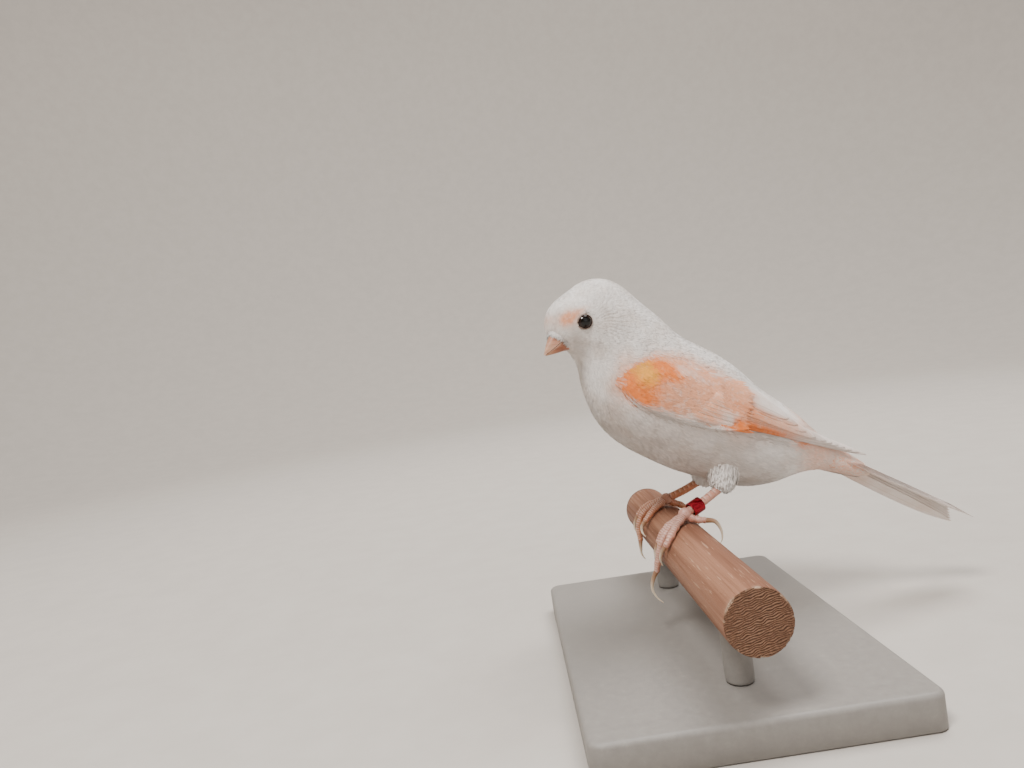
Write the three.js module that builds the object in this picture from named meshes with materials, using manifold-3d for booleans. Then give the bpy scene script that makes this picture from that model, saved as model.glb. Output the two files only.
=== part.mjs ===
// A white canary with orange shoulders, perched on a short wooden dowel that a plain display stand holds up.
// Millimetres, +Z up. The bird faces -X, the dowel runs along Y, and the origin is the middle of the stand's underside.
import * as THREE from "three";
import { LoftGeometry } from "three/addons/geometries/LoftGeometry.js";
import { RoundedBoxGeometry } from "three/addons/geometries/RoundedBoxGeometry.js";
import { mergeVertices } from "three/addons/utils/BufferGeometryUtils.js";
import Module from "manifold-3d";

const wasm = await Module();
wasm.setup();

// Driving sizes
const GAP = 0.31; // between neighbouring pieces
const perch = { radius: 7, front: -72, back: 38, sides: 48 };
const stand = { width: 72, depth: 106, middle: -17, thickness: 8, corner: 3, rise: 13, rodRadius: 3.2, rods: [-52, 18] };
const body = { size: 0.977, place: [-1, -5, 1.3], turn: 6 }; // turned so that the tail swings away
const head = { centre: [-15.8, -0.9, 64.2], turn: 24, bow: 18, eyeRadius: 2.4 };
const wing = { bend: [-12.3, 44.7], slope: 24.3 };
const tail = { root: [43, 0, 19.5], slope: 31.7, roll: -20, length: 54 };
const leg = { tarsusRadius: 1.15, toeRadius: 0.98, hubRadius: 1.75 };
const ring = { inner: 1.55, outer: 2.0, length: 3.6 };

const perchAxisHeight = stand.thickness + stand.rise + perch.radius;

const radians = THREE.MathUtils.degToRad;
const mix = THREE.MathUtils.lerp;
const vector = (p) => new THREE.Vector3(...p);

// A smooth value through [place, value] pairs
function profile(pairs, at) {
  if (at <= pairs[0][0]) return pairs[0][1];
  const last = pairs.length - 1;
  if (at >= pairs[last][0]) return pairs[last][1];
  const i = pairs.findIndex(([place]) => place > at) - 1;
  const [[x0, y0], [x1, y1]] = [pairs[i], pairs[i + 1]];
  const before = pairs[Math.max(i - 1, 0)];
  const after = pairs[Math.min(i + 2, last)];
  const slope0 = (y1 - before[1]) / (x1 - before[0]);
  const slope1 = (after[1] - y0) / (after[0] - x0);
  const span = x1 - x0;
  const t = (at - x0) / span;
  const h = 1 - t;
  return (
    h * h * (1 + 2 * t) * y0 + t * t * (3 - 2 * t) * y1 + span * t * h * (h * slope0 - t * slope1)
  );
}

// Solids

function solidOf(geometry) {
  const bare = new THREE.BufferGeometry().setAttribute("position", geometry.getAttribute("position"));
  if (geometry.index) bare.setIndex(geometry.index);
  const merged = mergeVertices(bare, 1e-4);
  const numbers = Array.from(merged.index.array);
  const triangles = [];
  for (let i = 0; i < numbers.length; i += 3) {
    const [a, b, c] = numbers.slice(i, i + 3);
    if (a !== b && b !== c && c !== a) triangles.push(a, b, c);
  }
  const made = (order) =>
    new wasm.Manifold(
      new wasm.Mesh({
        numProp: 3,
        vertProperties: new Float32Array(merged.attributes.position.array),
        triVerts: new Uint32Array(order),
      }),
    );
  const solid = made(triangles);
  return solid.volume() < 0 ? made(triangles.reverse()) : solid;
}

function geometryOf(solid) {
  const { vertProperties, triVerts } = solid.getMesh();
  const geometry = new THREE.BufferGeometry();
  geometry.setAttribute("position", new THREE.BufferAttribute(vertProperties, 3));
  geometry.setIndex(new THREE.BufferAttribute(triVerts, 1));
  geometry.computeVertexNormals();
  return geometry;
}

const largest = (solid) => solid.decompose().reduce((a, b) => (b.volume() > a.volume() ? b : a));
const join = (solids) => largest(solids.reduce((a, b) => a.add(b)));
const cut = (solid, ...tools) => largest(tools.reduce((a, b) => a.subtract(b), solid));

// A loft wants its sections counterclockwise as seen from its far end
function loft(sections) {
  const middleOf = (section) => section.reduce((a, b) => a.add(b), new THREE.Vector3()).divideScalar(section.length);
  const middle = middleOf(sections[0]);
  const normal = sections[0].reduce((sum, point, i) => {
    const next = sections[0][(i + 1) % sections[0].length];
    return sum.add(point.clone().sub(middle).cross(next.clone().sub(middle)));
  }, new THREE.Vector3());
  const turned = normal.dot(middleOf(sections[1]).sub(middle)) < 0;
  const wound = turned ? sections.map((section) => [...section].reverse()) : sections;
  return solidOf(new LoftGeometry(wound, { capStart: true, capEnd: true }));
}

function ball(centre, radius, across = 16, down = 12) {
  return solidOf(new THREE.SphereGeometry(radius, across, down).translate(...centre));
}

function cylinderAlongY(radius, from, to, sides) {
  const geometry = new THREE.CylinderGeometry(radius, radius, to - from, sides);
  return geometry.translate(0, (from + to) / 2, 0);
}

// A tube of changing radius along a curve; radiusAt takes the share of the length
function tube(curve, radiusAt, steps, sides) {
  const frames = curve.computeFrenetFrames(steps, false);
  const sections = [];
  for (let i = 0; i <= steps; i++) {
    const centre = curve.getPointAt(i / steps);
    const section = [];
    for (let j = 0; j < sides; j++) {
      const angle = (j / sides) * 2 * Math.PI;
      section.push(
        centre
          .clone()
          .addScaledVector(frames.normals[i], radiusAt(i / steps) * Math.cos(angle))
          .addScaledVector(frames.binormals[i], radiusAt(i / steps) * Math.sin(angle)),
      );
    }
    sections.push(section);
  }
  return loft(sections);
}

// Frames: the bird's own frame stands on the dowel's axis, and turns with the body

const birdFrame = new THREE.Matrix4()
  .makeTranslation(...body.place)
  .multiply(new THREE.Matrix4().makeRotationZ(radians(body.turn)))
  .scale(new THREE.Vector3(body.size, body.size, body.size));
const headFrame = new THREE.Matrix4()
  .makeTranslation(...head.centre)
  .multiply(new THREE.Matrix4().makeRotationZ(radians(head.turn)))
  .multiply(
    new THREE.Matrix4().makeBasis(
      new THREE.Vector3(-Math.cos(radians(head.bow)), 0, -Math.sin(radians(head.bow))),
      new THREE.Vector3(0, -1, 0),
      new THREE.Vector3(-Math.sin(radians(head.bow)), 0, Math.cos(radians(head.bow))),
    ),
  );
const inHead = (forward, left, up) => new THREE.Vector3(forward, left, up).applyMatrix4(headFrame);

// The body's surface: lumps of flesh and feather that melt into each other

function lump(centre, radii, drop = 0, frame = new THREE.Matrix4()) {
  const place = frame
    .clone()
    .multiply(new THREE.Matrix4().makeTranslation(...centre))
    .multiply(new THREE.Matrix4().makeRotationY(radians(drop)));
  return { inverse: place.invert(), radii };
}

const bodyLumps = [
  lump([7.4, 0, 36.3], [30, 15, 17.6], 35), // trunk
  lump([-2.6, 0, 42], [13.8, 13.6, 13.8]), // breast
  lump([-6.6, 0, 54.8], [12.2, 11, 13.2]), // neck
  lump([25, 0, 22.3], [15, 12, 11.2], 20), // belly
  lump([32, 0, 24.4], [15, 9.2, 8.2], 34), // rump
  lump([46, 0, 16.4], [14, 5, 4], 28), // tail root
];
const headLumps = [
  lump([-2.5, 0, 0.6], [11.4, 9.2, 9.6], 0, headFrame), // skull
  lump([5.8, 0, 1.4], [7.7, 7.2, 7.5], 0, headFrame), // face
  lump([-1, 3.4, -3.4], [8, 6, 6.6], 0, headFrame), // left cheek
  lump([-1, -3.4, -3.4], [8, 6, 6.6], 0, headFrame), // right cheek
];

function lumpDistance(point, { inverse, radii }) {
  const p = point.clone().applyMatrix4(inverse);
  const near = Math.hypot(p.x / radii[0], p.y / radii[1], p.z / radii[2]);
  const steep = Math.hypot(p.x / radii[0] ** 2, p.y / radii[1] ** 2, p.z / radii[2] ** 2);
  return near < 1e-6 ? -Math.min(...radii) : (near * (near - 1)) / steep;
}

function meltedDistance(point, lumps, melt) {
  return lumps
    .map((one) => lumpDistance(point, one))
    .reduce((a, b) => {
      const h = Math.max(melt - Math.abs(a - b), 0) / melt;
      return Math.min(a, b) - (h * h * melt) / 4;
    });
}

function bodyDistance(point) {
  const trunk = meltedDistance(point, bodyLumps, 7);
  const skull = meltedDistance(point, headLumps, 3);
  const melt = 6;
  const h = Math.max(melt - Math.abs(trunk - skull), 0) / melt;
  return Math.min(trunk, skull) - (h * h * melt) / 4;
}

// Where a ray from inside the body leaves its surface, moved out by grow
function surfacePoint(start, direction, grow = 0) {
  let inside = 0;
  let outside = 40;
  for (let step = 0; step < 26; step++) {
    const middle = (inside + outside) / 2;
    if (bodyDistance(start.clone().addScaledVector(direction, middle)) < 0) inside = middle;
    else outside = middle;
  }
  return start.clone().addScaledVector(direction, inside + grow);
}

// The spine that the body's rings stand on, from the tail root to the middle of the head
const spine = new THREE.CatmullRomCurve3(
  [
    [52, 13.4],
    [40, 19.6],
    [27, 26],
    [14, 33],
    [3, 41.5],
    [-4.5, 50.5],
    [-9.5, 58],
    [-13, 64],
  ].map(([x, z]) => new THREE.Vector3(x, 0, z)),
);
const sideways = new THREE.Vector3(0, 1, 0);

function ringFrame(at) {
  const ahead = spine.getTangentAt(at);
  return { centre: spine.getPointAt(at), ahead, over: ahead.clone().cross(sideways).normalize() };
}

// One ring of surface points. lift tips it forward, as on the dome of the head, and shift slides it along the spine.
function bodyRing(at, sides, { lift = 0, shift = 0, grow = 0 } = {}) {
  const { centre, ahead, over } = ringFrame(at);
  const start = centre.clone().addScaledVector(ahead, shift);
  const points = [];
  for (let j = 0; j < sides; j++) {
    const angle = (j / sides) * 2 * Math.PI;
    const direction = sideways
      .clone()
      .multiplyScalar(Math.cos(angle))
      .addScaledVector(over, Math.sin(angle))
      .multiplyScalar(Math.cos(lift))
      .addScaledVector(ahead, Math.sin(lift));
    points.push(surfacePoint(start, direction, grow).applyMatrix4(birdFrame));
  }
  return points;
}

const cuts = { tail: 0.07, neck: 0.69, head: 0.83 };
const rings = { sides: 30, torso: 18, neck: 4, head: 4, dome: 8 };

// Rings from one cut to the next. inset moves the first and last ring inwards, for the gap between neighbours.
function bodyLength(from, to, steps, { grow = 0, inset = [GAP / 2, GAP / 2] } = {}) {
  const sections = [];
  for (let i = 0; i <= steps; i++) {
    const shift = i === 0 ? inset[0] : i === steps ? -inset[1] : 0;
    sections.push(bodyRing(mix(from, to, i / steps), rings.sides, { shift, grow }));
  }
  return sections;
}

function skullSections({ grow = 0, inset = GAP / 2 } = {}) {
  const sections = bodyLength(cuts.head, 1, rings.head, { grow, inset: [inset, 0] });
  for (let i = 1; i <= rings.dome; i++) {
    const lift = (i / rings.dome) * radians(88);
    sections.push(bodyRing(1, rings.sides, { lift, grow }));
  }
  return sections;
}

const makeTorso = () => loft(bodyLength(cuts.tail, cuts.neck, rings.torso));
const makeNeck = () => loft(bodyLength(cuts.neck, cuts.head, rings.neck));

// The whole body with a gap all round it, cut from what lies against it
const makeBodyRoom = () =>
  loft([
    ...bodyLength(cuts.tail, cuts.neck, rings.torso, { grow: GAP, inset: [-GAP / 2, 0] }),
    ...bodyLength(cuts.neck, cuts.head, rings.neck, { grow: GAP, inset: [0, 0] }).slice(1),
    ...skullSections({ grow: GAP, inset: 0 }).slice(1),
  ]);

// Head: eyes in ringed sockets, and a short cone of a bill with the line of the mouth between its halves

const eyeSpots = { left: [6.3, 6.1, 1.3], right: [6.3, -6.1, 1.3] };
const eyePlace = (side) => inHead(...eyeSpots[side]).applyMatrix4(birdFrame);

function makeLid(side) {
  const out = inHead(eyeSpots[side][0] + 1.1, eyeSpots[side][1] * 1.55, eyeSpots[side][2] + 0.2)
    .applyMatrix4(birdFrame)
    .sub(eyePlace(side))
    .normalize();
  const torus = new THREE.TorusGeometry(head.eyeRadius * 0.9, 0.42, 6, 18);
  torus.applyQuaternion(new THREE.Quaternion().setFromUnitVectors(new THREE.Vector3(0, 0, 1), out));
  const place = eyePlace(side).addScaledVector(out, head.eyeRadius * 0.62);
  return solidOf(torus.translate(...place));
}

const bill = { root: 8.4, length: 9.8, width: 3.4, rise: 4.1, fall: 4.9, axis: -0.3, droop: 2.5 };

// Half of the bill: up is 1 for the upper half and -1 for the lower half
function makeBillHalf(up, grow = 0) {
  const steps = 7;
  const sides = 10;
  const sections = [];
  for (let i = 0; i <= steps; i++) {
    const t = mix(0.03, up > 0 ? 0.995 : 0.93, i / steps);
    const taper = 1 - t ** 1.7;
    const mouth = bill.axis - bill.droop * t + up * (GAP / 2);
    const tall = up > 0 ? bill.rise * (1 - t ** 2.2) : bill.fall * (1 - t);
    const section = [];
    for (let j = 0; j < sides; j++) {
      const angle = (j / (sides - 1)) * Math.PI;
      section.push(
        inHead(
          bill.root + bill.length * t,
          Math.cos(angle) * (bill.width * taper + grow),
          mouth - up * grow + up * Math.sin(angle) * (tall + 2 * grow),
        ).applyMatrix4(birdFrame),
      );
    }
    sections.push(section);
  }
  return loft(sections);
}

function makeNostril(side) {
  const place = inHead(bill.root + 2.7, side * 1.75, bill.axis + 2.1).applyMatrix4(birdFrame);
  return ball(place, 0.42, 8, 6);
}

function makeHead() {
  const lids = ["left", "right"].map(makeLid);
  const sockets = ["left", "right"].map((side) => ball(eyePlace(side), head.eyeRadius + GAP, 14, 10));
  const billRoom = [makeBillHalf(1, GAP), makeBillHalf(-1, GAP)];
  return cut(join([loft(skullSections()), ...lids]), ...sockets, ...billRoom);
}

// Folded wings. A place on the wing is (back, up, out): along it from the bend, across it, and away from the body.

const wingAlong = new THREE.Vector3(Math.cos(radians(wing.slope)), 0, -Math.sin(radians(wing.slope)));
const wingUp = new THREE.Vector3(Math.sin(radians(wing.slope)), 0, Math.cos(radians(wing.slope)));
const wingDistance = [[0, 8], [10, 12], [20, 15], [30, 15.2], [40, 13.6], [50, 10.6], [60, 7.6], [70, 5.4], [82, 3.6]];
const wingLean = [[20, 0.1], [36, 0.3], [48, 0.55], [60, 0.8], [72, 0.8], [82, 0.7]];

// How far the flesh of the body reaches sideways at a height and place along it
function bodyReach(x, z) {
  let inside = 0;
  let outside = 24;
  for (let step = 0; step < 16; step++) {
    const middle = (inside + outside) / 2;
    if (meltedDistance(new THREE.Vector3(x, middle, z), bodyLumps, 7) < 0) inside = middle;
    else outside = middle;
  }
  return inside;
}

function wingPoint(side, back, up, out) {
  const onAxis = new THREE.Vector3(wing.bend[0], 0, wing.bend[1])
    .addScaledVector(wingAlong, back)
    .addScaledVector(wingUp, up);
  const folded = profile(wingDistance, back) - profile(wingLean, back) * up - (up * up) / 40;
  const draped = bodyReach(onAxis.x, onAxis.z) + 0.3;
  const melt = Math.max(3 - Math.abs(folded - draped), 0) / 3;
  const fromMiddle = Math.max(folded, draped) + melt * melt * 0.75;
  return onAxis.add(new THREE.Vector3(0, -side * Math.max(fromMiddle + out, 0.6), 0)).applyMatrix4(birdFrame);
}

const vaneWidth = [[0, 0.55], [0.25, 0.92], [0.55, 1], [0.8, 0.9], [0.93, 0.62], [1, 0.08]];

// A feather: a thin plate that tapers, its ridge raised, from root to tip over a surface that place() gives.
// height is that of its ridge at root and tip, and under is how far its underside lies below the edges.
function vane(place, { root, tip, bow = 0, width, height, steps = 5, under = 0.3 }) {
  const along = new THREE.Vector2(tip[0] - root[0], tip[1] - root[1]);
  const across = new THREE.Vector2(-along.y, along.x).normalize();
  const sections = [];
  for (let i = 0; i <= steps; i++) {
    const t = 1 - (1 - i / steps) ** 1.25;
    const side = bow * 4 * t * (1 - t);
    const [a, b] = [root[0] + along.x * t + across.x * side, root[1] + along.y * t + across.y * side];
    const half = (width / 2) * profile(vaneWidth, t);
    const out = mix(height[0], height[1], t);
    const thin = i === steps ? 0.3 : 1;
    sections.push([
      place(a + across.x * half, b + across.y * half, out - 0.32 * thin),
      place(a, b, out),
      place(a - across.x * half, b - across.y * half, out - 0.32 * thin),
      place(a, b, out - (0.32 + under) * thin),
    ]);
  }
  return loft(sections);
}

// A row of like feathers, from the first one's root, tip and height to the last one's
function vaneRow(place, count, first, last, sizes) {
  const row = [];
  for (let i = 0; i < count; i++) {
    const t = count > 1 ? i / (count - 1) : 0;
    const between = (key) => first[key].map((value, axis) => mix(value, last[key][axis], t));
    row.push(
      vane(place, {
        ...sizes,
        root: between("root"),
        tip: between("tip"),
        height: between("height"),
        width: mix(first.width, last.width, t),
      }),
    );
  }
  return row;
}

const wingFeathers = [
  // primaries, from the lowest up
  { count: 3, steps: 5, bow: 1.3, first: { root: [12, -2.3], tip: [77.8, 1.8], height: [0.5, 0.5], width: 3.9 },
    last: { root: [16, -0.6], tip: [70.5, 2.6], height: [1.1, 1.3], width: 4 } },
  { count: 3, steps: 4, bow: 0.9, first: { root: [16, -0.1], tip: [66.5, 2.7], height: [1.4, 1.6], width: 4 },
    last: { root: [18, 0.6], tip: [60.5, 2.6], height: [1.8, 2.1], width: 4.2 } },
  // secondaries
  { count: 3, steps: 4, bow: 0.5, first: { root: [18, 0.8], tip: [57, 1.8], height: [2, 2.3], width: 4.3 },
    last: { root: [22, 4], tip: [51.5, 2.6], height: [2.5, 2.8], width: 4.6 } },
  // tertials
  { count: 3, steps: 4, bow: 0.6, first: { root: [22, 5], tip: [54.5, 1.5], height: [2.6, 3.0], width: 4.8 },
    last: { root: [24, 7.6], tip: [43, 5.8], height: [3.1, 3.6], width: 5 } },
  // primary coverts and the little bunch at the wrist
  { count: 3, steps: 3, bow: 0.4, under: 0.9, first: { root: [9, -3], tip: [36, -1.6], height: [1.0, 1.3], width: 2.6 },
    last: { root: [13, -1.2], tip: [31, 0], height: [1.3, 1.7], width: 3.2 } },
  { count: 2, steps: 3, bow: 0, under: 0.9, first: { root: [5, -2.6], tip: [23, -3], height: [1.2, 1.7], width: 2.4 },
    last: { root: [6, -1.6], tip: [18, -2.0], height: [1.5, 2.0], width: 2.6 } },
  // greater coverts
  { count: 5, steps: 3, bow: 0, under: 1.2, first: { root: [15, -0.4], tip: [31.5, -0.2], height: [1.6, 2.2], width: 3.8 },
    last: { root: [22, 7.6], tip: [37, 6.2], height: [2.2, 3.3], width: 4.2 } },
  // median coverts
  { count: 4, steps: 3, bow: 0, under: 1.2, first: { root: [9, -1.4], tip: [22.5, -1.5], height: [1.7, 2.4], width: 4.2 },
    last: { root: [17, 8], tip: [28.5, 7.2], height: [2.2, 3.3], width: 4.8 } },
  // two rows of lesser coverts
  { count: 4, steps: 2, bow: 0, under: 1.2, first: { root: [5.5, -1.8], tip: [15.5, -2], height: [1.7, 2.5], width: 4.4 },
    last: { root: [12, 8], tip: [20.5, 8], height: [2.0, 3.1], width: 5 } },
  { count: 3, steps: 2, bow: 0, under: 1.2, first: { root: [2.2, -0.4], tip: [10.5, -1], height: [1.6, 2.4], width: 4.4 },
    last: { root: [6, 7], tip: [13.5, 8], height: [1.8, 2.8], width: 5 } },
];

// The arm that the feathers grow from: a smooth lens over the front of the wing
function makeArm(side) {
  const lower = [[0, 0.6], [3, -1.8], [8, -3.7], [14, -4.2], [22, -3.8], [30, -2.4], [36, -0.6]];
  const upper = [[0, 2.6], [3, 6.4], [8, 8.8], [14, 9.4], [22, 9.2], [30, 7.6], [36, 5.4]];
  const outer = [[0, 0.6], [4, 1.45], [12, 1.85], [24, 1.75], [36, 1.2]];
  const sections = [];
  const steps = 8;
  const sides = 12;
  for (let i = 0; i <= steps; i++) {
    const back = mix(-0.6, 36, i / steps);
    const [low, high] = [profile(lower, back), profile(upper, back)];
    const section = [];
    for (let j = 0; j < sides; j++) {
      const angle = (j / sides) * 2 * Math.PI;
      const up = mix(low, high, 0.5 + 0.5 * Math.cos(angle));
      const out = Math.sin(angle) > 0 ? profile(outer, back) * Math.sin(angle) ** 0.8 : 5 * Math.sin(angle);
      section.push(wingPoint(side, back, up, out));
    }
    sections.push(section);
  }
  return loft(sections);
}

function makeWing(side, bodyRoom) {
  const place = (back, up, out) => wingPoint(side, back, up, out);
  const feathers = wingFeathers.flatMap(({ count, first, last, ...sizes }) =>
    vaneRow(place, count, first, last, sizes),
  );
  return cut(join([makeArm(side), ...feathers]), bodyRoom);
}

// The left wing is the right one, mirrored across the middle of the bird
function mirrored(solid) {
  const middlePlane = new THREE.Matrix4().makeScale(1, -1, 1);
  const across = birdFrame.clone().multiply(middlePlane).multiply(birdFrame.clone().invert());
  return solidOf(geometryOf(solid).applyMatrix4(across));
}

// Tail: a place is (back, across, over) from its root

const tailTurn = new THREE.Matrix4()
  .makeTranslation(...tail.root)
  .multiply(new THREE.Matrix4().makeRotationY(radians(tail.slope)))
  .multiply(new THREE.Matrix4().makeRotationX(radians(tail.roll)));

function tailPoint(back, across, over) {
  const arch = 0.36 * (Math.hypot(across, 1) - 1);
  return new THREE.Vector3(back, -across, over - arch).applyMatrix4(tailTurn).applyMatrix4(birdFrame);
}

function makeTail() {
  const pairs = 6;
  const feathers = [];
  for (let i = 0; i < pairs; i++) {
    for (const side of [-1, 1]) {
      const spread = i / (pairs - 1);
      feathers.push(
        vane(tailPoint, {
          root: [2, side * mix(0.5, 1.6, spread)],
          tip: [tail.length - 4 + 4 * spread, side * mix(1.1, 4.2, spread)],
          bow: side * 0.4 * spread,
          width: mix(5, 4.2, spread),
          height: [mix(1.2, -0.4, spread), mix(0.9, -0.3, spread) + side * 0.12],
          steps: 4,
        }),
      );
    }
  }
  // the stump, with the long coverts above and below it
  const sections = [];
  const sides = 14;
  const half = [[0, 5.0], [5, 4.6], [11, 3.9], [18, 2.6], [22, 1.4]];
  const above = [[0, 4.4], [5, 3.8], [11, 2.9], [18, 2.1], [22, 1.4]];
  const below = [[0, 5.2], [5, 4.9], [11, 4.0], [18, 2.6], [22, 1.4]];
  for (let i = 0; i <= 8; i++) {
    const back = mix(tailStart, 22, i / 8);
    const section = [];
    for (let j = 0; j < sides; j++) {
      const angle = (j / sides) * 2 * Math.PI;
      const tall = Math.sin(angle) > 0 ? profile(above, back) : profile(below, back);
      section.push(tailPoint(back, -profile(half, back) * Math.cos(angle), tall * Math.sin(angle)));
    }
    sections.push(section);
  }
  return join([loft(sections), ...feathers]);
}
const tailStart = 0.4;

// Legs, in the dowel's frame: x across the dowel, y along it, z up from its axis

const legs = {
  left: { ankle: [12.6, -11, 14.2], hub: [0.8, -15.4, 9.3], thighTop: [15, -9, 23] },
  right: { ankle: [11.2, 4.4, 13.8], hub: [0.8, 7, 9.2], thighTop: [14.5, 2.5, 23] },
};

// Places on a toe: degrees round the dowel from its top towards the breast, place along the dowel, and height
// over its surface. The claw follows on from the toe's last place.
const toes = {
  left: {
    inner: { toe: [[13, -16, 1.3], [34, -16.8, 1.3], [56, -17.2, 1.2], [68, -17.3, 1.2]],
      claw: [[82, -17.4, 1.7], [95, -17.6, 1.7], [106, -17.8, 1.2]] },
    middle: { toe: [[12, -17, 1.5], [29, -18.8, 1.35], [47, -20.2, 1.3], [65, -20.4, 1.3], [84, -20, 1.3],
      [101, -19.5, 2.1], [113, -19.1, 3.2]], claw: [[119, -19, 5.2], [127, -19.2, 6.8], [136, -19.6, 7.5], [143, -20, 7.6]] },
    outer: { toe: [[17, -19.4, 1.3], [33, -23, 1.3], [50, -24.8, 1.3], [62, -24.9, 1.3]],
      claw: [[73, -24.5, 1.8], [85, -24, 1.8], [97, -23.5, 1.4]] },
    hind: { toe: [[-14, -15.9, 1.5], [-28, -16.3, 1.5], [-39, -16.8, 2.3]],
      claw: [[-50, -17.4, 3.4], [-64, -18, 3.1], [-77, -18, 2.3], [-84, -18, 1.5]] },
  },
  right: {
    inner: { toe: [[16, 5, 1.3], [32, 3.2, 1.3], [48, 2.3, 1.35], [58, 2, 1.6]],
      claw: [[68, 1.6, 2.0], [77, 0.6, 1.7], [82, -1, 1.1]] },
    middle: { toe: [[14, 7.6, 1.3], [33, 8.2, 1.3], [54, 8.5, 1.35], [76, 8.5, 1.3], [97, 8.4, 1.25], [107, 8.2, 1.5]],
      claw: [[116, 8, 2.4], [126, 8, 3.4], [136, 8, 3.9]] },
    outer: { toe: [[14, 9.4, 1.3], [34, 11.8, 1.3], [54, 12.6, 1.3], [62, 12.6, 1.3]],
      claw: [[74, 12.5, 1.8], [86, 12.3, 1.8], [97, 12, 1.3]] },
    hind: { toe: [[-14, 6.8, 1.5], [-32, 6.3, 1.4], [-48, 5.8, 1.5]],
      claw: [[-60, 5.5, 2.4], [-73, 5.2, 2.5], [-85, 5, 1.7]] },
  },
};

function roundPerch([angle, y, lift]) {
  const r = perch.radius + lift;
  return new THREE.Vector3(-r * Math.sin(radians(angle)), y, r * Math.cos(radians(angle)));
}

function toeCurve(name, which) {
  return new THREE.CatmullRomCurve3([vector(legs[name].hub), ...toes[name][which].toe.map(roundPerch)]);
}

// Thick at the joints, slimmer between them
function makeToe(name, which, grow = 0) {
  const joints = toes[name][which].toe.length;
  const swell = (t) => 0.07 * Math.cos(t * joints * 2 * Math.PI);
  const radiusAt = (t) => leg.toeRadius * (mix(1.12, 0.86, t) + swell(t)) + grow;
  return tube(toeCurve(name, which), radiusAt, joints * 2, 6);
}

function makeFoot(name) {
  const made = Object.keys(toes[name]).map((which) => makeToe(name, which));
  return cut(join([ball(legs[name].hub, leg.hubRadius, 10, 7), ...made]), perchRoom);
}

function makeClaw(name, which) {
  const { toe, claw } = toes[name][which];
  const root = toeCurve(name, which).getPointAt(1);
  const next = roundPerch(claw[0]);
  const start = root.clone().add(next.clone().sub(root).setLength(GAP));
  const curve = new THREE.CatmullRomCurve3([start, ...claw.map(roundPerch)]);
  const toeEnd = makeToe(name, which);
  return cut(tube(curve, (t) => mix(0.74, 0.14, t ** 0.9), claw.length * 2, 6), perchRoom, toeEnd);
}

function tarsusCurve(name) {
  const { ankle, hub } = legs[name];
  const middle = vector(ankle).lerp(vector(hub), 0.5).add(new THREE.Vector3(0, 0, -0.25));
  return new THREE.CatmullRomCurve3([vector(ankle), middle, vector(hub)]);
}

function makeTarsus(name) {
  const radiusAt = (t) => leg.tarsusRadius * (1 + 0.35 * Math.max(0, 0.3 - t) + 0.25 * Math.max(0, t - 0.8));
  const hubRoom = ball(legs[name].hub, leg.hubRadius + GAP, 14, 10);
  const toeRooms = Object.keys(toes[name]).map((which) => makeToe(name, which, GAP));
  return cut(tube(tarsusCurve(name), radiusAt, 8, 10), hubRoom, perchRoom, ...toeRooms);
}

function makeThigh(name, bodyRoom) {
  const { ankle, thighTop } = legs[name];
  const curve = new THREE.CatmullRomCurve3([
    vector(thighTop),
    vector(thighTop).lerp(vector(ankle), 0.5),
    vector(ankle).add(new THREE.Vector3(0, 0, -1.4)),
  ]);
  const radiusAt = (t) => profile([[0, 5], [0.6, 4.6], [0.85, 3.6], [1, 2.2]], t);
  return cut(tube(curve, radiusAt, 8, 14), bodyRoom, makeTarsusRoom(name));
}

function makeTarsusRoom(name) {
  return tube(tarsusCurve(name), () => leg.tarsusRadius * 1.12 + GAP, 6, 12);
}

function makeLegRing() {
  const curve = tarsusCurve("left");
  const share = 0.72;
  const half = ring.length / 2;
  const profilePoints = [
    [ring.inner, -half], [ring.outer, -half], [ring.outer, half], [ring.inner, half], [ring.inner, -half],
  ].map(([x, y]) => new THREE.Vector2(x, y));
  const along = curve.getTangentAt(share);
  const turn = new THREE.Quaternion().setFromUnitVectors(new THREE.Vector3(0, 1, 0), along);
  return solidOf(
    new THREE.LatheGeometry(profilePoints, 24).applyQuaternion(turn).translate(...curve.getPointAt(share)),
  );
}

// The dowel, and the stand's rods cut to sit under it

const perchSolid = solidOf(cylinderAlongY(perch.radius, perch.front, perch.back, perch.sides));
const perchRoom = solidOf(cylinderAlongY(perch.radius + GAP, perch.front - 5, perch.back + 5, perch.sides));

function makeRod(y) {
  const bottom = -(perch.radius + stand.rise) + GAP;
  const geometry = new THREE.CylinderGeometry(stand.rodRadius, stand.rodRadius, -bottom - 3, 24);
  geometry.rotateX(Math.PI / 2).translate(0, y, (bottom - 3) / 2);
  return cut(solidOf(geometry), perchRoom);
}

function makeBase() {
  const { width, depth, thickness, corner } = stand;
  const shape = new RoundedBoxGeometry(width, depth, thickness * 2, 3, corner);
  const lowerHalf = new THREE.BoxGeometry(width * 2, depth * 2, thickness * 2);
  const top = -(perch.radius + stand.rise);
  return cut(
    solidOf(shape.translate(0, stand.middle, top - thickness)),
    solidOf(lowerHalf.translate(0, stand.middle, top - 2 * thickness)),
  );
}

// Assembly

const finishes = {
  plumage: { color: 0xece6e1, roughness: 0.85 },
  shoulder: { color: 0xf0b594, roughness: 0.8 },
  tail: { color: 0xecd9cf, roughness: 0.8 },
  horn: { color: 0xc99683, roughness: 0.45 },
  claw: { color: 0xd8bd9c, roughness: 0.45 },
  skin: { color: 0xb9826a, roughness: 0.6 },
  eye: { color: 0x140d0b, roughness: 0.05 },
  ring: { color: 0x8c1522, roughness: 0.3, metalness: 0.7 },
  wood: { color: 0xa9795a, roughness: 0.7 },
  stand: { color: 0x8a8682, roughness: 0.6 },
};

const onPerch = new THREE.Group();
onPerch.position.set(0, -stand.middle, perchAxisHeight);

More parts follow.
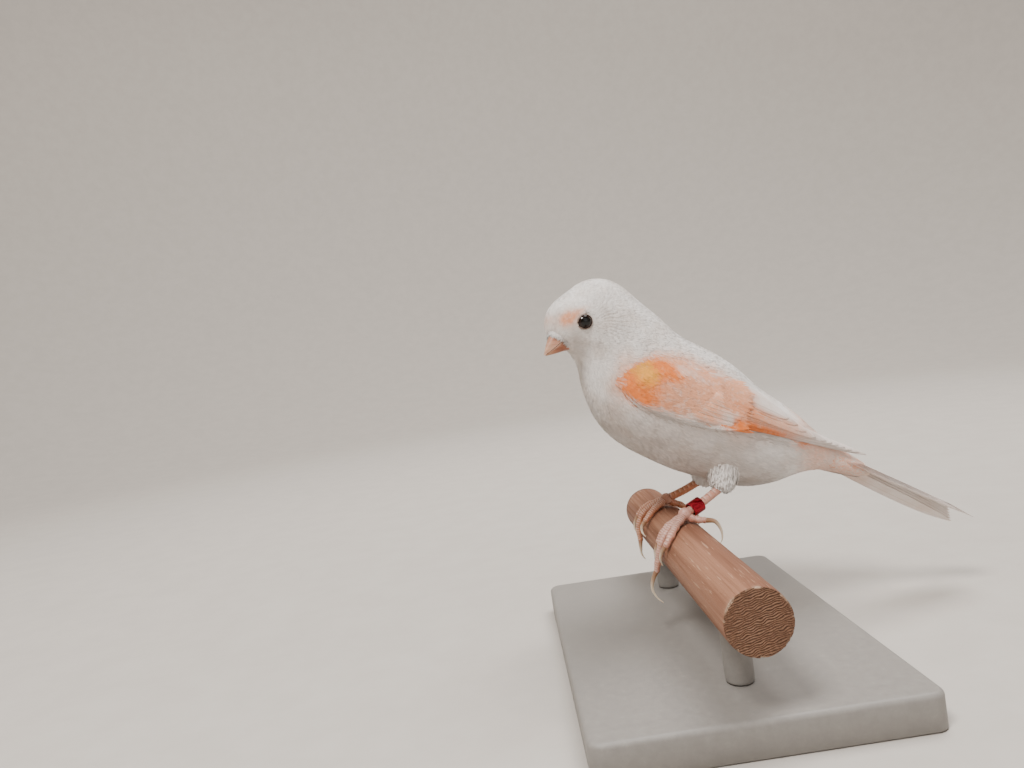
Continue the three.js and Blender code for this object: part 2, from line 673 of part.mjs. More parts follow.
function piece(name, solid, finish) {
  const mesh = new THREE.Mesh(geometryOf(solid), new THREE.MeshStandardMaterial(finishes[finish]));
  mesh.name = name;
  onPerch.add(mesh);
}

const bodyRoom = makeBodyRoom();
const rightWing = makeWing(-1, bodyRoom);
piece("torso", makeTorso(), "plumage");
piece("neck", makeNeck(), "plumage");
piece("head", makeHead(), "plumage");
piece("bill_upper", cut(makeBillHalf(1), makeNostril(1), makeNostril(-1)), "horn");
piece("bill_lower", makeBillHalf(-1), "horn");
piece("tail", cut(makeTail(), bodyRoom), "tail");
for (const name of ["left", "right"]) {
  piece("eye_" + name, ball(eyePlace(name), head.eyeRadius, 14, 10), "eye");
  piece("wing_" + name, name === "left" ? mirrored(rightWing) : rightWing, "shoulder");
  piece("thigh_" + name, makeThigh(name, bodyRoom), "plumage");
  piece("tarsus_" + name, makeTarsus(name), "skin");
  piece("foot_" + name, makeFoot(name), "skin");
  for (const which of Object.keys(toes[name])) {
    piece("claw_" + name + "_" + which, makeClaw(name, which), "claw");
  }
}
piece("leg_ring", makeLegRing(), "ring");
piece("perch", perchSolid, "wood");
piece("stand_base", makeBase(), "stand");
stand.rods.forEach((y, i) => piece("stand_rod_" + ["front", "back"][i], makeRod(y), "stand"));

const canary = new THREE.Group();
canary.add(onPerch);
export default canary;
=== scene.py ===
"""Dresses a life-size canary on its dowel: skin, feathers, eyes, bill, feet, perch and display stand."""

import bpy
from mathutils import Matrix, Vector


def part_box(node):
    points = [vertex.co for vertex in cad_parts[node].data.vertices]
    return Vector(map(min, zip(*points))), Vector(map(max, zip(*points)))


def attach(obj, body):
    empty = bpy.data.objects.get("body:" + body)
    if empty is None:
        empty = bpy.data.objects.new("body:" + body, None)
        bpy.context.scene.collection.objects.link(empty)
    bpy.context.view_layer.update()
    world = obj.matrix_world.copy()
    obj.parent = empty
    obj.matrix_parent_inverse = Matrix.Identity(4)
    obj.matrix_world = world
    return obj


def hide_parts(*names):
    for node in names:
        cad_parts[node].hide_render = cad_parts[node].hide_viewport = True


bl_info = {
    "name": "Perched canary",
    "version": (1, 0, 0),
    "blender": (4, 5, 0),
    "location": "View3D > Sidebar > Canary",
    "description": "A still, life-size canary on a short dowel, dressed feather by feather",
    "category": "Object",
}

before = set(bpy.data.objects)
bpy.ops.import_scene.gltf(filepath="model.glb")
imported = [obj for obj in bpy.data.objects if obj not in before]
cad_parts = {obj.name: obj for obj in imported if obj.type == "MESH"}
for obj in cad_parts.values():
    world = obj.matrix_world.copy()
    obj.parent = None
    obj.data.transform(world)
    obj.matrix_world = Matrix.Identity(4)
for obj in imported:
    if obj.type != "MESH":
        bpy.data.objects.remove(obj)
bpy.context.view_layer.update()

import math

import bpy
import numpy as np
from bpy.props import FloatProperty, FloatVectorProperty, IntProperty, PointerProperty
from mathutils import Matrix, Vector

# Places. Shapes are worked out in millimetres from the dowel's axis under the bird, and set in metres.
MM = 0.001
PERCH_LOW, PERCH_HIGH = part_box("perch")
PERCH_RADIUS = (PERCH_HIGH.x - PERCH_LOW.x) / 2 / MM
PERCH_BEHIND = 38.0  # how far the dowel runs on past the bird
ORIGIN = np.array([0.0, PERCH_HIGH.y - PERCH_BEHIND * MM, (PERCH_LOW.z + PERCH_HIGH.z) / 2])

# The bird's own frame and its head's, as the solids have them
BODY = {"size": 0.977, "place": (-1.0, -5.0, 1.3), "turn": 6.0}
HEAD = {"centre": (-15.8, -0.9, 64.2), "turn": 24.0, "bow": 18.0}
EYE = {"forward": 6.3, "aside": 6.1, "up": 1.3, "radius": 2.4}
WING = {"bend": (-12.3, 44.7), "slope": 24.3}
TAIL = {"root": (43.0, 0.0, 19.5), "slope": 31.7, "roll": -20.0, "length": 54.0}
BILL = {"root": 8.4, "length": 9.8, "width": 3.4, "rise": 4.1, "fall": 4.9, "axis": -0.3, "droop": 2.5}


def linear(red, green, blue):
    """A colour given as 0 to 255 in the way that screens show it."""
    values = np.array([red, green, blue]) / 255
    return (*np.where(values < 0.04045, values / 12.92, ((values + 0.055) / 1.055) ** 2.4).tolist(), 1.0)


# Small tools for places and directions


def moved(x, y, z):
    matrix = np.eye(4)
    matrix[:3, 3] = (x, y, z)
    return matrix


def turned(axis, degrees):
    matrix = np.eye(4)
    matrix[:3, :3] = np.array(Matrix.Rotation(math.radians(degrees), 3, axis))
    return matrix


def placed(matrix, points):
    points = np.asarray(points, float)
    return points @ matrix[:3, :3].T + matrix[:3, 3]


def unit(vectors):
    return vectors / np.maximum(np.linalg.norm(vectors, axis=-1, keepdims=True), 1e-9)


def smooth(value, low, high):
    t = np.clip((value - low) / (high - low), 0, 1)
    return t * t * (3 - 2 * t)


def profile(pairs, at):
    """A smooth value through (place, value) pairs, with the slopes of a cubic that passes its neighbours."""
    places = np.array([pair[0] for pair in pairs], float)
    values = np.array([pair[1] for pair in pairs], float)
    at = np.clip(np.asarray(at, float), places[0], places[-1])
    i = np.clip(np.searchsorted(places, at, side="right") - 1, 0, len(places) - 2)
    before, after = np.maximum(i - 1, 0), np.minimum(i + 2, len(places) - 1)
    slope_in = (values[i + 1] - values[before]) / (places[i + 1] - places[before])
    slope_out = (values[after] - values[i]) / (places[after] - places[i])
    span = places[i + 1] - places[i]
    t = (at - places[i]) / span
    h = 1 - t
    return (
        h * h * (1 + 2 * t) * values[i]
        + t * t * (3 - 2 * t) * values[i + 1]
        + span * t * h * (h * slope_in - t * slope_out)
    )


def evenly(points, count):
    """Places at even steps along a centripetal Catmull-Rom curve through the points."""
    points = np.asarray(points, float)
    ends = (2 * points[0] - points[1], 2 * points[-1] - points[-2])
    full = np.vstack([ends[0], points, ends[1]])
    dense = []
    for i in range(1, len(full) - 2):
        p0, p1, p2, p3 = full[i - 1 : i + 3]
        d0, d1, d2 = (max(np.linalg.norm(b - a), 1e-6) ** 0.5 for a, b in ((p0, p1), (p1, p2), (p2, p3)))
        out = ((p1 - p0) / d0 - (p2 - p0) / (d0 + d1) + (p2 - p1) / d1) * d1
        into = ((p2 - p1) / d1 - (p3 - p1) / (d1 + d2) + (p3 - p2) / d2) * d1
        t = np.linspace(0, 1, 30)[:, None]
        dense.append(p1 + out * t + (3 * (p2 - p1) - 2 * out - into) * t**2 + (2 * (p1 - p2) + out + into) * t**3)
    dense = np.vstack(dense)
    length = np.concatenate([[0], np.cumsum(np.linalg.norm(np.diff(dense, axis=0), axis=1))])
    steps = np.linspace(0, length[-1], count)
    return np.column_stack([np.interp(steps, length, dense[:, axis]) for axis in range(3)])


BIRD = moved(*BODY["place"]) @ turned("Z", BODY["turn"]) @ np.diag([BODY["size"]] * 3 + [1])


def head_frame():
    bow = math.radians(HEAD["bow"])
    basis = np.eye(4)
    basis[:3, 0] = (-math.cos(bow), 0, -math.sin(bow))
    basis[:3, 1] = (0, -1, 0)
    basis[:3, 2] = (-math.sin(bow), 0, math.cos(bow))
    return moved(*HEAD["centre"]) @ turned("Z", HEAD["turn"]) @ basis


SKULL = head_frame()
TO_SKULL = np.linalg.inv(SKULL)

# The body's surface, in the bird's frame: lumps that melt into each other


def lump(centre, radii, drop=0.0, start=np.eye(4)):
    inverse = np.linalg.inv(start @ moved(*centre) @ turned("Y", drop))
    return inverse, np.array(radii, float)


BODY_LUMPS = [
    lump((7.4, 0, 36.3), (30, 15, 17.6), 35),  # trunk
    lump((-2.6, 0, 42), (13.8, 13.6, 13.8)),  # breast
    lump((-6.6, 0, 54.8), (12.2, 11, 13.2)),  # neck
    lump((25, 0, 22.3), (15, 12, 11.2), 20),  # belly
    lump((32, 0, 24.4), (15, 9.2, 8.2), 34),  # rump
    lump((46, 0, 16.4), (14, 5, 4), 28),  # tail root
]
HEAD_LUMPS = [
    lump((-2.5, 0, 0.6), (11.4, 9.2, 9.6), 0, SKULL),  # skull
    lump((5.8, 0, 1.4), (7.7, 7.2, 7.5), 0, SKULL),  # face
    lump((-1, 3.4, -3.4), (8, 6, 6.6), 0, SKULL),  # left cheek
    lump((-1, -3.4, -3.4), (8, 6, 6.6), 0, SKULL),  # right cheek
]


def lump_distance(points, one):
    inverse, radii = one
    q = placed(inverse, points)
    near = np.linalg.norm(q / radii, axis=-1)
    steep = np.maximum(np.linalg.norm(q / radii**2, axis=-1), 1e-9)
    return near * (near - 1) / steep


def melted(a, b, melt):
    h = np.maximum(melt - np.abs(a - b), 0) / melt
    return np.minimum(a, b) - h * h * melt / 4


def lumps_distance(points, lumps, melt):
    total = lump_distance(points, lumps[0])
    for one in lumps[1:]:
        total = melted(total, lump_distance(points, one), melt)
    return total


def body_distance(points):
    return melted(lumps_distance(points, BODY_LUMPS, 7), lumps_distance(points, HEAD_LUMPS, 3), 6)


def body_normal(points):
    step = 0.05
    here = body_distance(points)
    slopes = [body_distance(points + step * np.eye(3)[axis]) - here for axis in range(3)]
    return here, unit(np.stack(slopes, axis=-1))


SPINE = [(52, 13.4), (40, 19.6), (27, 26), (14, 33), (3, 41.5), (-4.5, 50.5), (-9.5, 58), (-13, 64)]


def body_grid(rows, dome, columns, sink):
    """Rings of places on the body, from the tail root to the crown, sunk in by sink(places)."""
    line = evenly([(x, 0, z) for x, z in SPINE], rows)
    ahead = unit(np.gradient(line, axis=0))
    lift = np.concatenate([np.zeros(rows), np.radians(np.linspace(0, 89.5, dome + 1)[1:])])
    line = np.vstack([line, np.repeat(line[-1:], dome, axis=0)])
    ahead = np.vstack([ahead, np.repeat(ahead[-1:], dome, axis=0)])
    aside = np.array([0.0, 1.0, 0.0])
    over = unit(np.cross(ahead, aside))
    angle = np.arange(columns) / columns * 2 * np.pi
    around = np.cos(angle)[None, :, None] * aside + np.sin(angle)[None, :, None] * over[:, None, :]
    cosine, sine = np.cos(lift)[:, None, None], np.sin(lift)[:, None, None]
    direction = around * cosine + ahead[:, None, :] * sine
    start = np.repeat(line[:, None, :], columns, axis=1)
    inside = np.zeros(direction.shape[:2])
    outside = np.full(direction.shape[:2], 40.0)
    for _ in range(20):
        middle = (inside + outside) / 2
        within = body_distance(start + direction * middle[..., None]) < 0
        inside = np.where(within, middle, inside)
        outside = np.where(within, outside, middle)
    points = start + direction * inside[..., None]
    return points - direction * sink(points)[..., None]


BILL_BASE = placed(SKULL, (BILL["root"], 0, -0.8))


def from_bill(points):
    return np.linalg.norm(points - BILL_BASE, axis=-1)


def coat_depth(points):
    """How far the skin lies under the tips of the feathers."""
    return profile([(0, 0.10), (4, 0.16), (9, 0.26), (18, 0.38), (30, 0.48), (60, 0.55)], from_bill(points))


# The folded wing. A place on it is (back, up, out): along it from the bend, across it, and away from the body.

SLOPE = math.radians(WING["slope"])
WING_ALONG = np.array([math.cos(SLOPE), 0, -math.sin(SLOPE)])
WING_UP = np.array([math.sin(SLOPE), 0, math.cos(SLOPE)])
WING_BEND = np.array([WING["bend"][0], 0, WING["bend"][1]])
WING_DISTANCE = [(0, 8), (10, 12), (20, 15), (30, 15.2), (40, 13.6), (50, 10.6), (60, 7.6), (70, 5.4), (82, 3.6)]
WING_LEAN = [(20, 0.1), (36, 0.3), (48, 0.55), (60, 0.8), (72, 0.8), (82, 0.7)]
ARM_LOWER = [(0, 0.6), (3, -1.8), (8, -3.7), (14, -4.2), (22, -3.8), (30, -2.4), (36, -0.6)]
ARM_UPPER = [(0, 2.6), (3, 6.4), (8, 8.8), (14, 9.4), (22, 9.2), (30, 7.6), (36, 5.4)]
ARM_OUTER = [(0, 0.6), (4, 1.45), (12, 1.85), (24, 1.75), (36, 1.2)]


def body_reach(x, z):
    """How far the flesh of the body reaches sideways."""
    inside, outside = np.zeros_like(x), np.full_like(x, 24.0)
    for _ in range(14):
        middle = (inside + outside) / 2
        within = lumps_distance(np.stack([x, middle, z], axis=-1), BODY_LUMPS, 7) < 0
        inside = np.where(within, middle, inside)
        outside = np.where(within, outside, middle)
    return inside


def wing_distance(back, up):
    """How far the folded wing stands from the middle of the bird."""
    axis = WING_BEND + np.multiply.outer(back, WING_ALONG) + np.multiply.outer(up, WING_UP)
    folded = profile(WING_DISTANCE, back) - profile(WING_LEAN, back) * up - up * up / 40
    draped = body_reach(axis[..., 0], axis[..., 2]) + 0.3
    melt = np.maximum(3 - np.abs(folded - draped), 0) / 3
    return np.maximum(folded, draped) + melt * melt * 0.75, axis


def wing_point(side, back, up, out):
    back, up, out = np.broadcast_arrays(*(np.asarray(v, float) for v in (back, up, out)))
    distance, axis = wing_distance(back, up)
    axis = axis.copy()
    axis[..., 1] = -side * np.maximum(distance + out, 0.6)
    return axis


def arm_height(back, up):
    """How far the smooth front of the wing swells out."""
    low, high = profile(ARM_LOWER, back), profile(ARM_UPPER, back)
    share = np.clip(2 * (up - low) / (high - low) - 1, -1, 1)
    inside = (back > -0.5) & (back < 36)
    return np.where(inside, profile(ARM_OUTER, back) * (1 - share**2) ** 0.4, 0)


def tail_point(back, across, over):
    turn = moved(*TAIL["root"]) @ turned("Y", TAIL["slope"]) @ turned("X", TAIL["roll"])
    arch = 0.36 * (np.hypot(across, 1) - 1)
    back, across, over = np.broadcast_arrays(back, across, over - arch)
    return placed(turn, np.stack([back, -across, over], axis=-1))


# Markings and painted shade, as masks from 0 to 1


def bump(points, centre, radii):
    return np.exp(-np.sum(((points - np.array(centre)) / np.array(radii)) ** 2, axis=-1))


def ripple(points, scale, seed):
    """A soft random value, about 0 to 1, made of a few waves."""
    random = np.random.default_rng(seed)
    total = np.zeros(points.shape[:-1])
    for _ in range(6):
        wave = random.normal(size=3) / scale
        total += np.sin(points @ wave + random.uniform(0, 6.28))
    return 0.5 + total / 7


def body_marks(points):
    """The masks of the body's coat and skin, in the bird's frame."""
    p = placed(TO_SKULL, points)
    f, l, u = p[..., 0], np.abs(p[..., 1]), p[..., 2]
    flat = np.stack([f, l, u], axis=-1)
    lore = 1.3 * bump(flat, (10.0, 5.4, 3.9), (2.3, 2.8, 1.75))
    brow = bump(flat, (6.6, 7.0, 4.3), (2.4, 2.4, 0.9))
    front = bump(flat, (12.4, 0.8, 5.2), (1.3, 1.7, 1.7))
    head_area = smooth(from_bill(points), 30, 22)
    x, y, z = points[..., 0], points[..., 1], points[..., 2]
    behind = smooth(x, 36, 44) * smooth(np.abs(y), 9, 2)
    under = smooth(x, 33, 42)
    mottled = ripple(points, 2.6, 4)
    peach = np.clip(1.05 * lore + 0.55 * brow + 0.35 * front, 0, 1) * head_area
    peach = peach + 0.5 * under * (0.6 + 0.6 * mottled) + 0.1 * behind
    rel = points - WING_BEND
    back, up = rel @ WING_ALONG, rel @ WING_UP
    offset = up - profile(ARM_UPPER, back) - 1
    edge = np.exp(-((np.maximum(offset, 0.3 * offset) / 2.6) ** 2)) * smooth(back, -4, 3) * smooth(back, 46, 30)
    aside = smooth(np.abs(y), 4, 8)
    behind_patch = np.exp(-(((back - 14) / 6) ** 2))
    peach = peach + (0.6 + 0.5 * behind_patch) * edge * (0.5 + mottled) * aside
    ahead = np.exp(-(((back + 1.0) / 2.4) ** 2)) * smooth(up, -4, 0) * smooth(up, 12, 7)
    wing = wing_marks(back, up)
    peach = np.clip(peach + 0.4 * ahead * aside, 0, 1)
    spot = np.exp(-(((x - 38) / 3.2) ** 2)) * smooth(np.abs(y), 3, 5) * np.exp(-(((z - 21.5) / 1.3) ** 2))
    ear = bump(flat, (0.3, 9.5, -2.2), (4.8, 4.5, 5.5))
    spokes = np.arctan2(u - 1.0, f - 6.2)
    streak = np.clip(np.sin(spokes * 44 + 4 * ripple(points, 1.5, 8)) * 0.6 + 0.15, 0, 1)
    run = np.clip(((f - 10.2) * -4.5 + (u + 2.8) * -3.2) / 30.5, 0, 1)
    line = np.exp(-(((f - 10.2 + 4.5 * run) ** 2 + (u + 2.8 + 3.2 * run) ** 2) / 0.8)) * smooth(l, 2, 4)
    malar = 0.45 * bump(flat, (9.4, 2.0, -5.4), (2.2, 3.4, 2.6)) + 0.5 * bump(flat, (12.0, 2.9, -1.9), (1.2, 1.6, 1.3))
    # The grey mask holds the real grey marks of the face and, lower down, painted shade on the lower body and under the
    # wing's edge
    dusk = np.clip(malar * (0.5 + ripple(points, 0.9, 2)) + 0.75 * ear * streak + 0.3 * line, 0, 1) * head_area
    dusk = dusk + 0.2 * head_area * ripple(points, 1.2, 5) ** 3
    # Painted shade: the lower body is greyed, more towards the bottom, for the shade under the bird
    low = smooth(z - profile([(-20, 42), (0, 27), (15, 19), (30, 12), (50, 6)], x), 8, -2) * smooth(x, 36, 27)
    dusk = dusk + (0.36 + 0.3 * ripple(points * (0.5, 1, 2), 2.5, 6)) * low * smooth(from_bill(points), 14, 26)
    shadow = np.exp(-(((up - profile(WING_LOW, back) + 0.4) / 0.45) ** 2)) * smooth(back, 0, 5) * smooth(back, 60, 45)
    dusk = dusk + 0.45 * shadow * aside
    orange = np.clip(0.75 * spot + wing["orange"] * aside * smooth(back, 20, 14), 0, 1)
    return {"peach": peach, "orange": orange, "yolk": wing["yolk"], "dusk": np.clip(dusk, 0, 1)}


def wing_marks(back, up):
    """The masks of the wing, by place along it and across it."""
    at = np.stack([back, up], axis=-1)
    jitter = 0.9 * (ripple(np.stack([back, up * 2.2, up], axis=-1), 1.3, 11) - 0.5)
    lean = np.array([0.35, 0.94])
    rel = at - np.array([5.5, 3.6])
    long, short = rel @ lean, rel @ np.array([0.94, -0.35])
    patch = np.hypot(long / 7.2, short / 5.4) + 0.12 * jitter
    lobe = np.hypot((back - 10.0) / 4.4, (up - 6.9) / 2.8) + 0.12 * jitter
    orange = np.maximum(smooth(patch, 1.18, 0.66), smooth(lobe, 1.25, 0.5))
    inner = smooth(np.hypot((back - 4.9) / 3.4, (up - 5.4) / 3.8), 1.2, 0.3)
    fade = smooth(short + 0.35 * long, 0.8, 4.4) * smooth(up, 6.8, 3.4)
    orange = orange * (1 - 0.72 * fade)
    streaks = ripple(np.stack([back * 0.25, (up + 0.35 * back) * 2.2, back * 0], axis=-1), 1.0, 21)
    field = smooth(back, 3, 8) * smooth(back, 38, 31) * smooth(up, -4.2, -1.0) * smooth(up, 12.0, 8.5)
    peach = field * (0.75 + 0.6 * streaks)
    tips = np.exp(-(((back - 29) / 3.4) ** 2)) * smooth(up, 3.2, 0.6) * smooth(up, -4.5, -3) * (0.4 + 0.6 * streaks)
    edge = smooth(up, -2.6, -4.0) * smooth(back, 6, 10) * smooth(back, 28, 20)
    peach = peach * (1 - 0.85 * tips) * (1 - 0.4 * edge)
    stripe = smooth(back, 29, 31.5) * smooth(back, 56, 42) * smooth(up, 1.5, 0.1)
    bases = smooth(back, 31, 36) * smooth(back, 60, 44) * smooth(up, 0.2, 1.2) * smooth(up, 5.2, 3.4)
    deep = np.exp(-(((back - 35) / 3.8) ** 2)) * np.exp(-(((up - 3.4) / 1.7) ** 2))
    lower = smooth(back, 32, 38) * smooth(back, 66, 52) * smooth(up, -0.2, -1.6)
    front_rim = np.exp(-(((back - 7) / 4.5) ** 2 + ((up + 1.9) / 1.7) ** 2))
    orange = np.clip(orange + 0.4 * front_rim + 0.9 * stripe + 0.45 * deep + 0.35 * lower, 0, 1)
    peach = np.clip(peach + 0.65 * bases + 0.45 * deep + 0.4 * lower + 0.15 * smooth(back, 30, 34), 0, 1)
    # The grey along the wing's lower edge, with the short rim near its front, is partly the dark edge of the lowest
    # feathers and partly painted shadow under that edge
    rim = np.exp(-(((back - 9) / 5) ** 2 + ((up + 3.1) / 0.7) ** 2))
    dusk = 0.5 * smooth(up + 0.045 * (back - 20), -3.4, -4.6) * smooth(back, 4, 8) * smooth(back, 44, 36) + 0.2 * rim
    yolk = np.clip(inner * smooth(fade, 1, 0.2) + 0.35 * np.exp(-(((back - 22) / 4) ** 2 + ((up - 5.4) / 2) ** 2)), 0, 1)
    return {"peach": peach, "orange": orange, "yolk": yolk, "dusk": np.clip(dusk, 0, 1)}


# Meshes


def new_piece(name, points, faces, material, attributes=None, uv=None, normals=None, replaces=()):
    """Makes a piece of the model. The points are millimetres from the dowel's axis, the faces arrays of corners."""
    faces = [f for f in faces if len(f)]
    mesh = bpy.data.meshes.new(name)
    mesh.vertices.add(len(points))
    mesh.vertices.foreach_set("co", (np.asarray(points, float) * MM + ORIGIN).astype(np.float32).ravel())
    corners = np.concatenate([f.ravel() for f in faces]).astype(np.int32)
    sizes = np.concatenate([np.full(len(f), f.shape[1]) for f in faces])
    mesh.loops.add(len(corners))
    mesh.loops.foreach_set("vertex_index", corners)
    mesh.polygons.add(len(sizes))
    mesh.polygons.foreach_set("loop_start", np.concatenate([[0], np.cumsum(sizes)[:-1]]).astype(np.int32))
    for key, values in (attributes or {}).items():
        layer = mesh.attributes.new(key, "FLOAT", "POINT")
        layer.data.foreach_set("value", np.asarray(values, np.float32).ravel())
    if uv is not None:
        layer = mesh.uv_layers.new(name="OFBake")
        layer.data.foreach_set("uv", np.asarray(uv, np.float32)[corners].ravel())
    mesh.update(calc_edges=True)
    mesh.validate()
    mesh.shade_smooth()
    if normals is not None:
        mesh.normals_split_custom_set_from_vertices(unit(normals).astype(np.float32))
    made = bpy.data.objects.new(name, mesh)
    bpy.context.scene.collection.objects.link(made)
    made.data.materials.append(material)
    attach(made, "root")
    if replaces:
        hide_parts(*replaces)
    return made


def sheet_faces(rows, columns, closed=True):
    """Quads over a grid of places, wrapping round its columns if closed."""
    i, j = np.meshgrid(np.arange(rows - 1), np.arange(columns if closed else columns - 1), indexing="ij")
    after = (j + 1) % columns
    quads = np.stack([i * columns + j, i * columns + after, (i + 1) * columns + after, (i + 1) * columns + j], -1)
    return quads.reshape(-1, 4)


def capped(grid):
    """A closed body from rings of places: (points, quads, triangles)."""
    rows, columns = grid.shape[:2]
    points = np.vstack([grid.reshape(-1, 3), grid[0].mean(0), grid[-1].mean(0)])
    quads = sheet_faces(rows, columns)
    j = np.arange(columns)
    first, last = rows * columns, rows * columns + 1
    start = np.stack([(j + 1) % columns, j, np.full(columns, first)], -1)
    base = (rows - 1) * columns
    end = np.stack([base + j, base + (j + 1) % columns, np.full(columns, last)], -1)
    volume = np.einsum("ij,ij->i", points[quads[:, 0]], np.cross(points[quads[:, 1]], points[quads[:, 2]])).sum()
    centre = points.mean(0)
    shifted = points - centre
    volume = sum(
        np.einsum("ij,ij->i", shifted[f[:, 0]], np.cross(shifted[f[:, a]], shifted[f[:, b]])).sum()
        for f, a, b in ((quads, 1, 2), (quads, 2, 3), (start, 1, 2), (end, 1, 2))
    )
    faces = [quads, start, end]
    return points, faces if volume > 0 else [f[:, ::-1] for f in faces]


def merged(parts):
    """Joins (points, faces, attributes) parts into one."""
    points, faces, attributes = [], [], {}
    total = 0
    for part_points, part_faces, part_attributes in parts:
        points.append(part_points)
        faces += [f + total for f in part_faces]
        for key, values in part_attributes.items():
            attributes.setdefault(key, []).append(values)
        total += len(part_points)
    return np.vstack(points), faces, {key: np.concatenate(values) for key, values in attributes.items()}


def tube_grid(line, radius, sides, top, shape=None):
    """Rings along a line of places. top points to the upper side, and shape(share, angle) scales the radius."""
    along = unit(np.gradient(line, axis=0))
    over = unit(top - along * np.sum(top * along, axis=-1, keepdims=True))
    aside = np.cross(along, over)
    angle = np.arange(sides) / sides * 2 * np.pi
    share = np.linspace(0, 1, len(line))
    size = np.asarray(radius)[:, None] * (shape(share[:, None], angle[None, :]) if shape else 1)
    ring = np.cos(angle)[None, :, None] * over[:, None, :] + np.sin(angle)[None, :, None] * aside[:, None, :]
    return line[:, None, :] + ring * np.broadcast_to(size, (len(line), sides))[..., None]


# Feathers made of fine locks: each lock is a thin, tapered, three-sided body

LOCK_STEPS = np.array([0.0, 0.36, 0.7, 1.0])
SHORT_STEPS = np.array([0.0, 0.5, 1.0])


def lock_bodies(lines, over, width, thickness, ridge=0.22):
    """Closed locks along lines of places: (points, faces, normals)."""
    count, steps = lines.shape[:2]
    body = steps - 1
    share = np.linspace(0, 1, steps)
    along = unit(np.gradient(lines, axis=1))
    aside = unit(np.cross(along, over))[:, :body]
    half = (width[:, None] * np.interp(share, [0, 0.35, 0.7, 1], [0.38, 0.5, 0.4, 0]))[:, :body, None]
    tall = (thickness[:, None] * np.interp(share, [0, 0.5, 1], [1, 1, 0.6]))[:, :body, None]
    upper = over[:, :body]
    rings = np.stack([lines[:, :body] - aside * half, lines[:, :body] + aside * half, lines[:, :body] + upper * tall], 2)
    points = np.concatenate([rings.reshape(count, body * 3, 3), lines[:, body:]], axis=1)
    leaning = np.stack([upper - ridge * aside, upper + ridge * aside, upper], axis=2)
    normals = np.concatenate([leaning.reshape(count, body * 3, 3), over[:, body:]], axis=1)
    faces = [(2, 1, 0)]
    for i in range(0, 3 * body - 3, 3):
        for a, b in ((0, 1), (1, 2), (2, 0)):
            faces += [(i + a, i + b, i + 3 + b), (i + a, i + 3 + b, i + 3 + a)]
    last, tip = 3 * body - 3, 3 * body
    faces += [(last, last + 1, tip), (last + 1, last + 2, tip), (last + 2, last, tip)]
    faces = np.array(faces)[None, :, ::-1] + np.arange(count)[:, None, None] * (tip + 1)
    return points.reshape(-1, 3), faces.reshape(-1, 3), normals.reshape(-1, 3)


def lock_patches(root_uv, steps):
    """Each lock's own small patch on the unwrap of the skin, at its root's place."""
    rows = np.linspace(0.1, 1, steps)
    spots = [(x, y) for y in rows[:-1] for x in (0.1, 0.9, 0.5)] + [(0.5, 1.0)]
    return (root_uv[:, None, :] + 0.003 * (np.array(spots) - 0.5)).reshape(-1, 2)


def scatter(grid, spacing_of, random):
    """Even but irregular places over a grid of rings: (places, share along it, share round it)."""
    a, b = grid[:-1], grid[1:]
    c, d = np.roll(b, -1, axis=1), np.roll(a, -1, axis=1)
    middle = (a + b + c + d) / 4
    area = np.linalg.norm(np.cross(c - a, b - d), axis=-1) / 2
    wanted = area / spacing_of(middle) ** 2 * 3.5
    count = np.floor(wanted + random.random(wanted.shape)).astype(int)
    index = np.repeat(np.arange(count.size), count.ravel())
    random.shuffle(index)
    row, column = np.unravel_index(index, count.shape)
    u, v = random.random((2, len(index)))
    u, v = u[:, None], v[:, None]
    places = (
        a[row, column] * (1 - u) * (1 - v)
        + b[row, column] * u * (1 - v)
        + d[row, column] * (1 - u) * v
        + c[row, column] * u * v
    )
    level = np.round(np.log(spacing_of(places) / 0.3) / np.log(1.2))
    size = 0.3 * 1.2**level
    cell = np.floor(places / size[:, None] + 512).astype(np.int64)
    key = ((cell[:, 0] * 4096 + cell[:, 1]) * 4096 + cell[:, 2]) * 64 + level.astype(np.int64) + 16
    keep = np.sort(np.unique(key, return_index=True)[1])
    along = (row + u[:, 0]) / grid.shape[0]
    around = ((column + v[:, 0]) / grid.shape[1]) % 1
    return places[keep], along[keep], around[keep]


def feather_length(points):
    return profile([(0, 0.9), (3, 1.2), (8, 2.2), (16, 3.3), (26, 4.6), (42, 5.8), (80, 6.6)], from_bill(points))


def feather_lie(points, normals, along):
    """The way the feathers lie: away from the bill on the head, and then down the body to the tail."""
    line = evenly([(x, 0, z) for x, z in SPINE], 60)
    ahead = unit(np.gradient(line, axis=0))
    share = np.clip(along / 0.8, 0, 1) * 59
    back = -np.stack([np.interp(share, np.arange(60), ahead[:, axis]) for axis in range(3)], -1)
    away = unit(points - BILL_BASE - np.array([-1.5, 0, 0.5]))
    blend = smooth(from_bill(points), 13, 30)[:, None]
    lie = away * (1 - blend) + back * blend
    lie = lie - normals * np.sum(lie * normals, axis=-1, keepdims=True)
    return unit(lie)


def near_eye(points):
    p = placed(TO_SKULL, points)
    aside = np.abs(p[..., 1]) - EYE["aside"]
    return np.sqrt((p[..., 0] - EYE["forward"]) ** 2 + (p[..., 2] - EYE["up"]) ** 2 + 0.1 * aside**2) * BODY["size"]


def in_bill(points):
    """How deep a place lies in the bill's root, so that no feather grows there."""
    p = placed(TO_SKULL, points)
    t = (p[..., 0] - BILL["root"]) / BILL["length"]
    mouth = BILL["axis"] - BILL["droop"] * np.clip(t, 0, 1)
    tall = np.where(p[..., 2] > mouth, BILL["rise"], BILL["fall"] * (1 - np.clip(t, 0, 1)))
    return (t > 0) & (np.hypot(p[..., 1] / BILL["width"], (p[..., 2] - mouth) / np.maximum(tall, 0.1)) < 0.96)


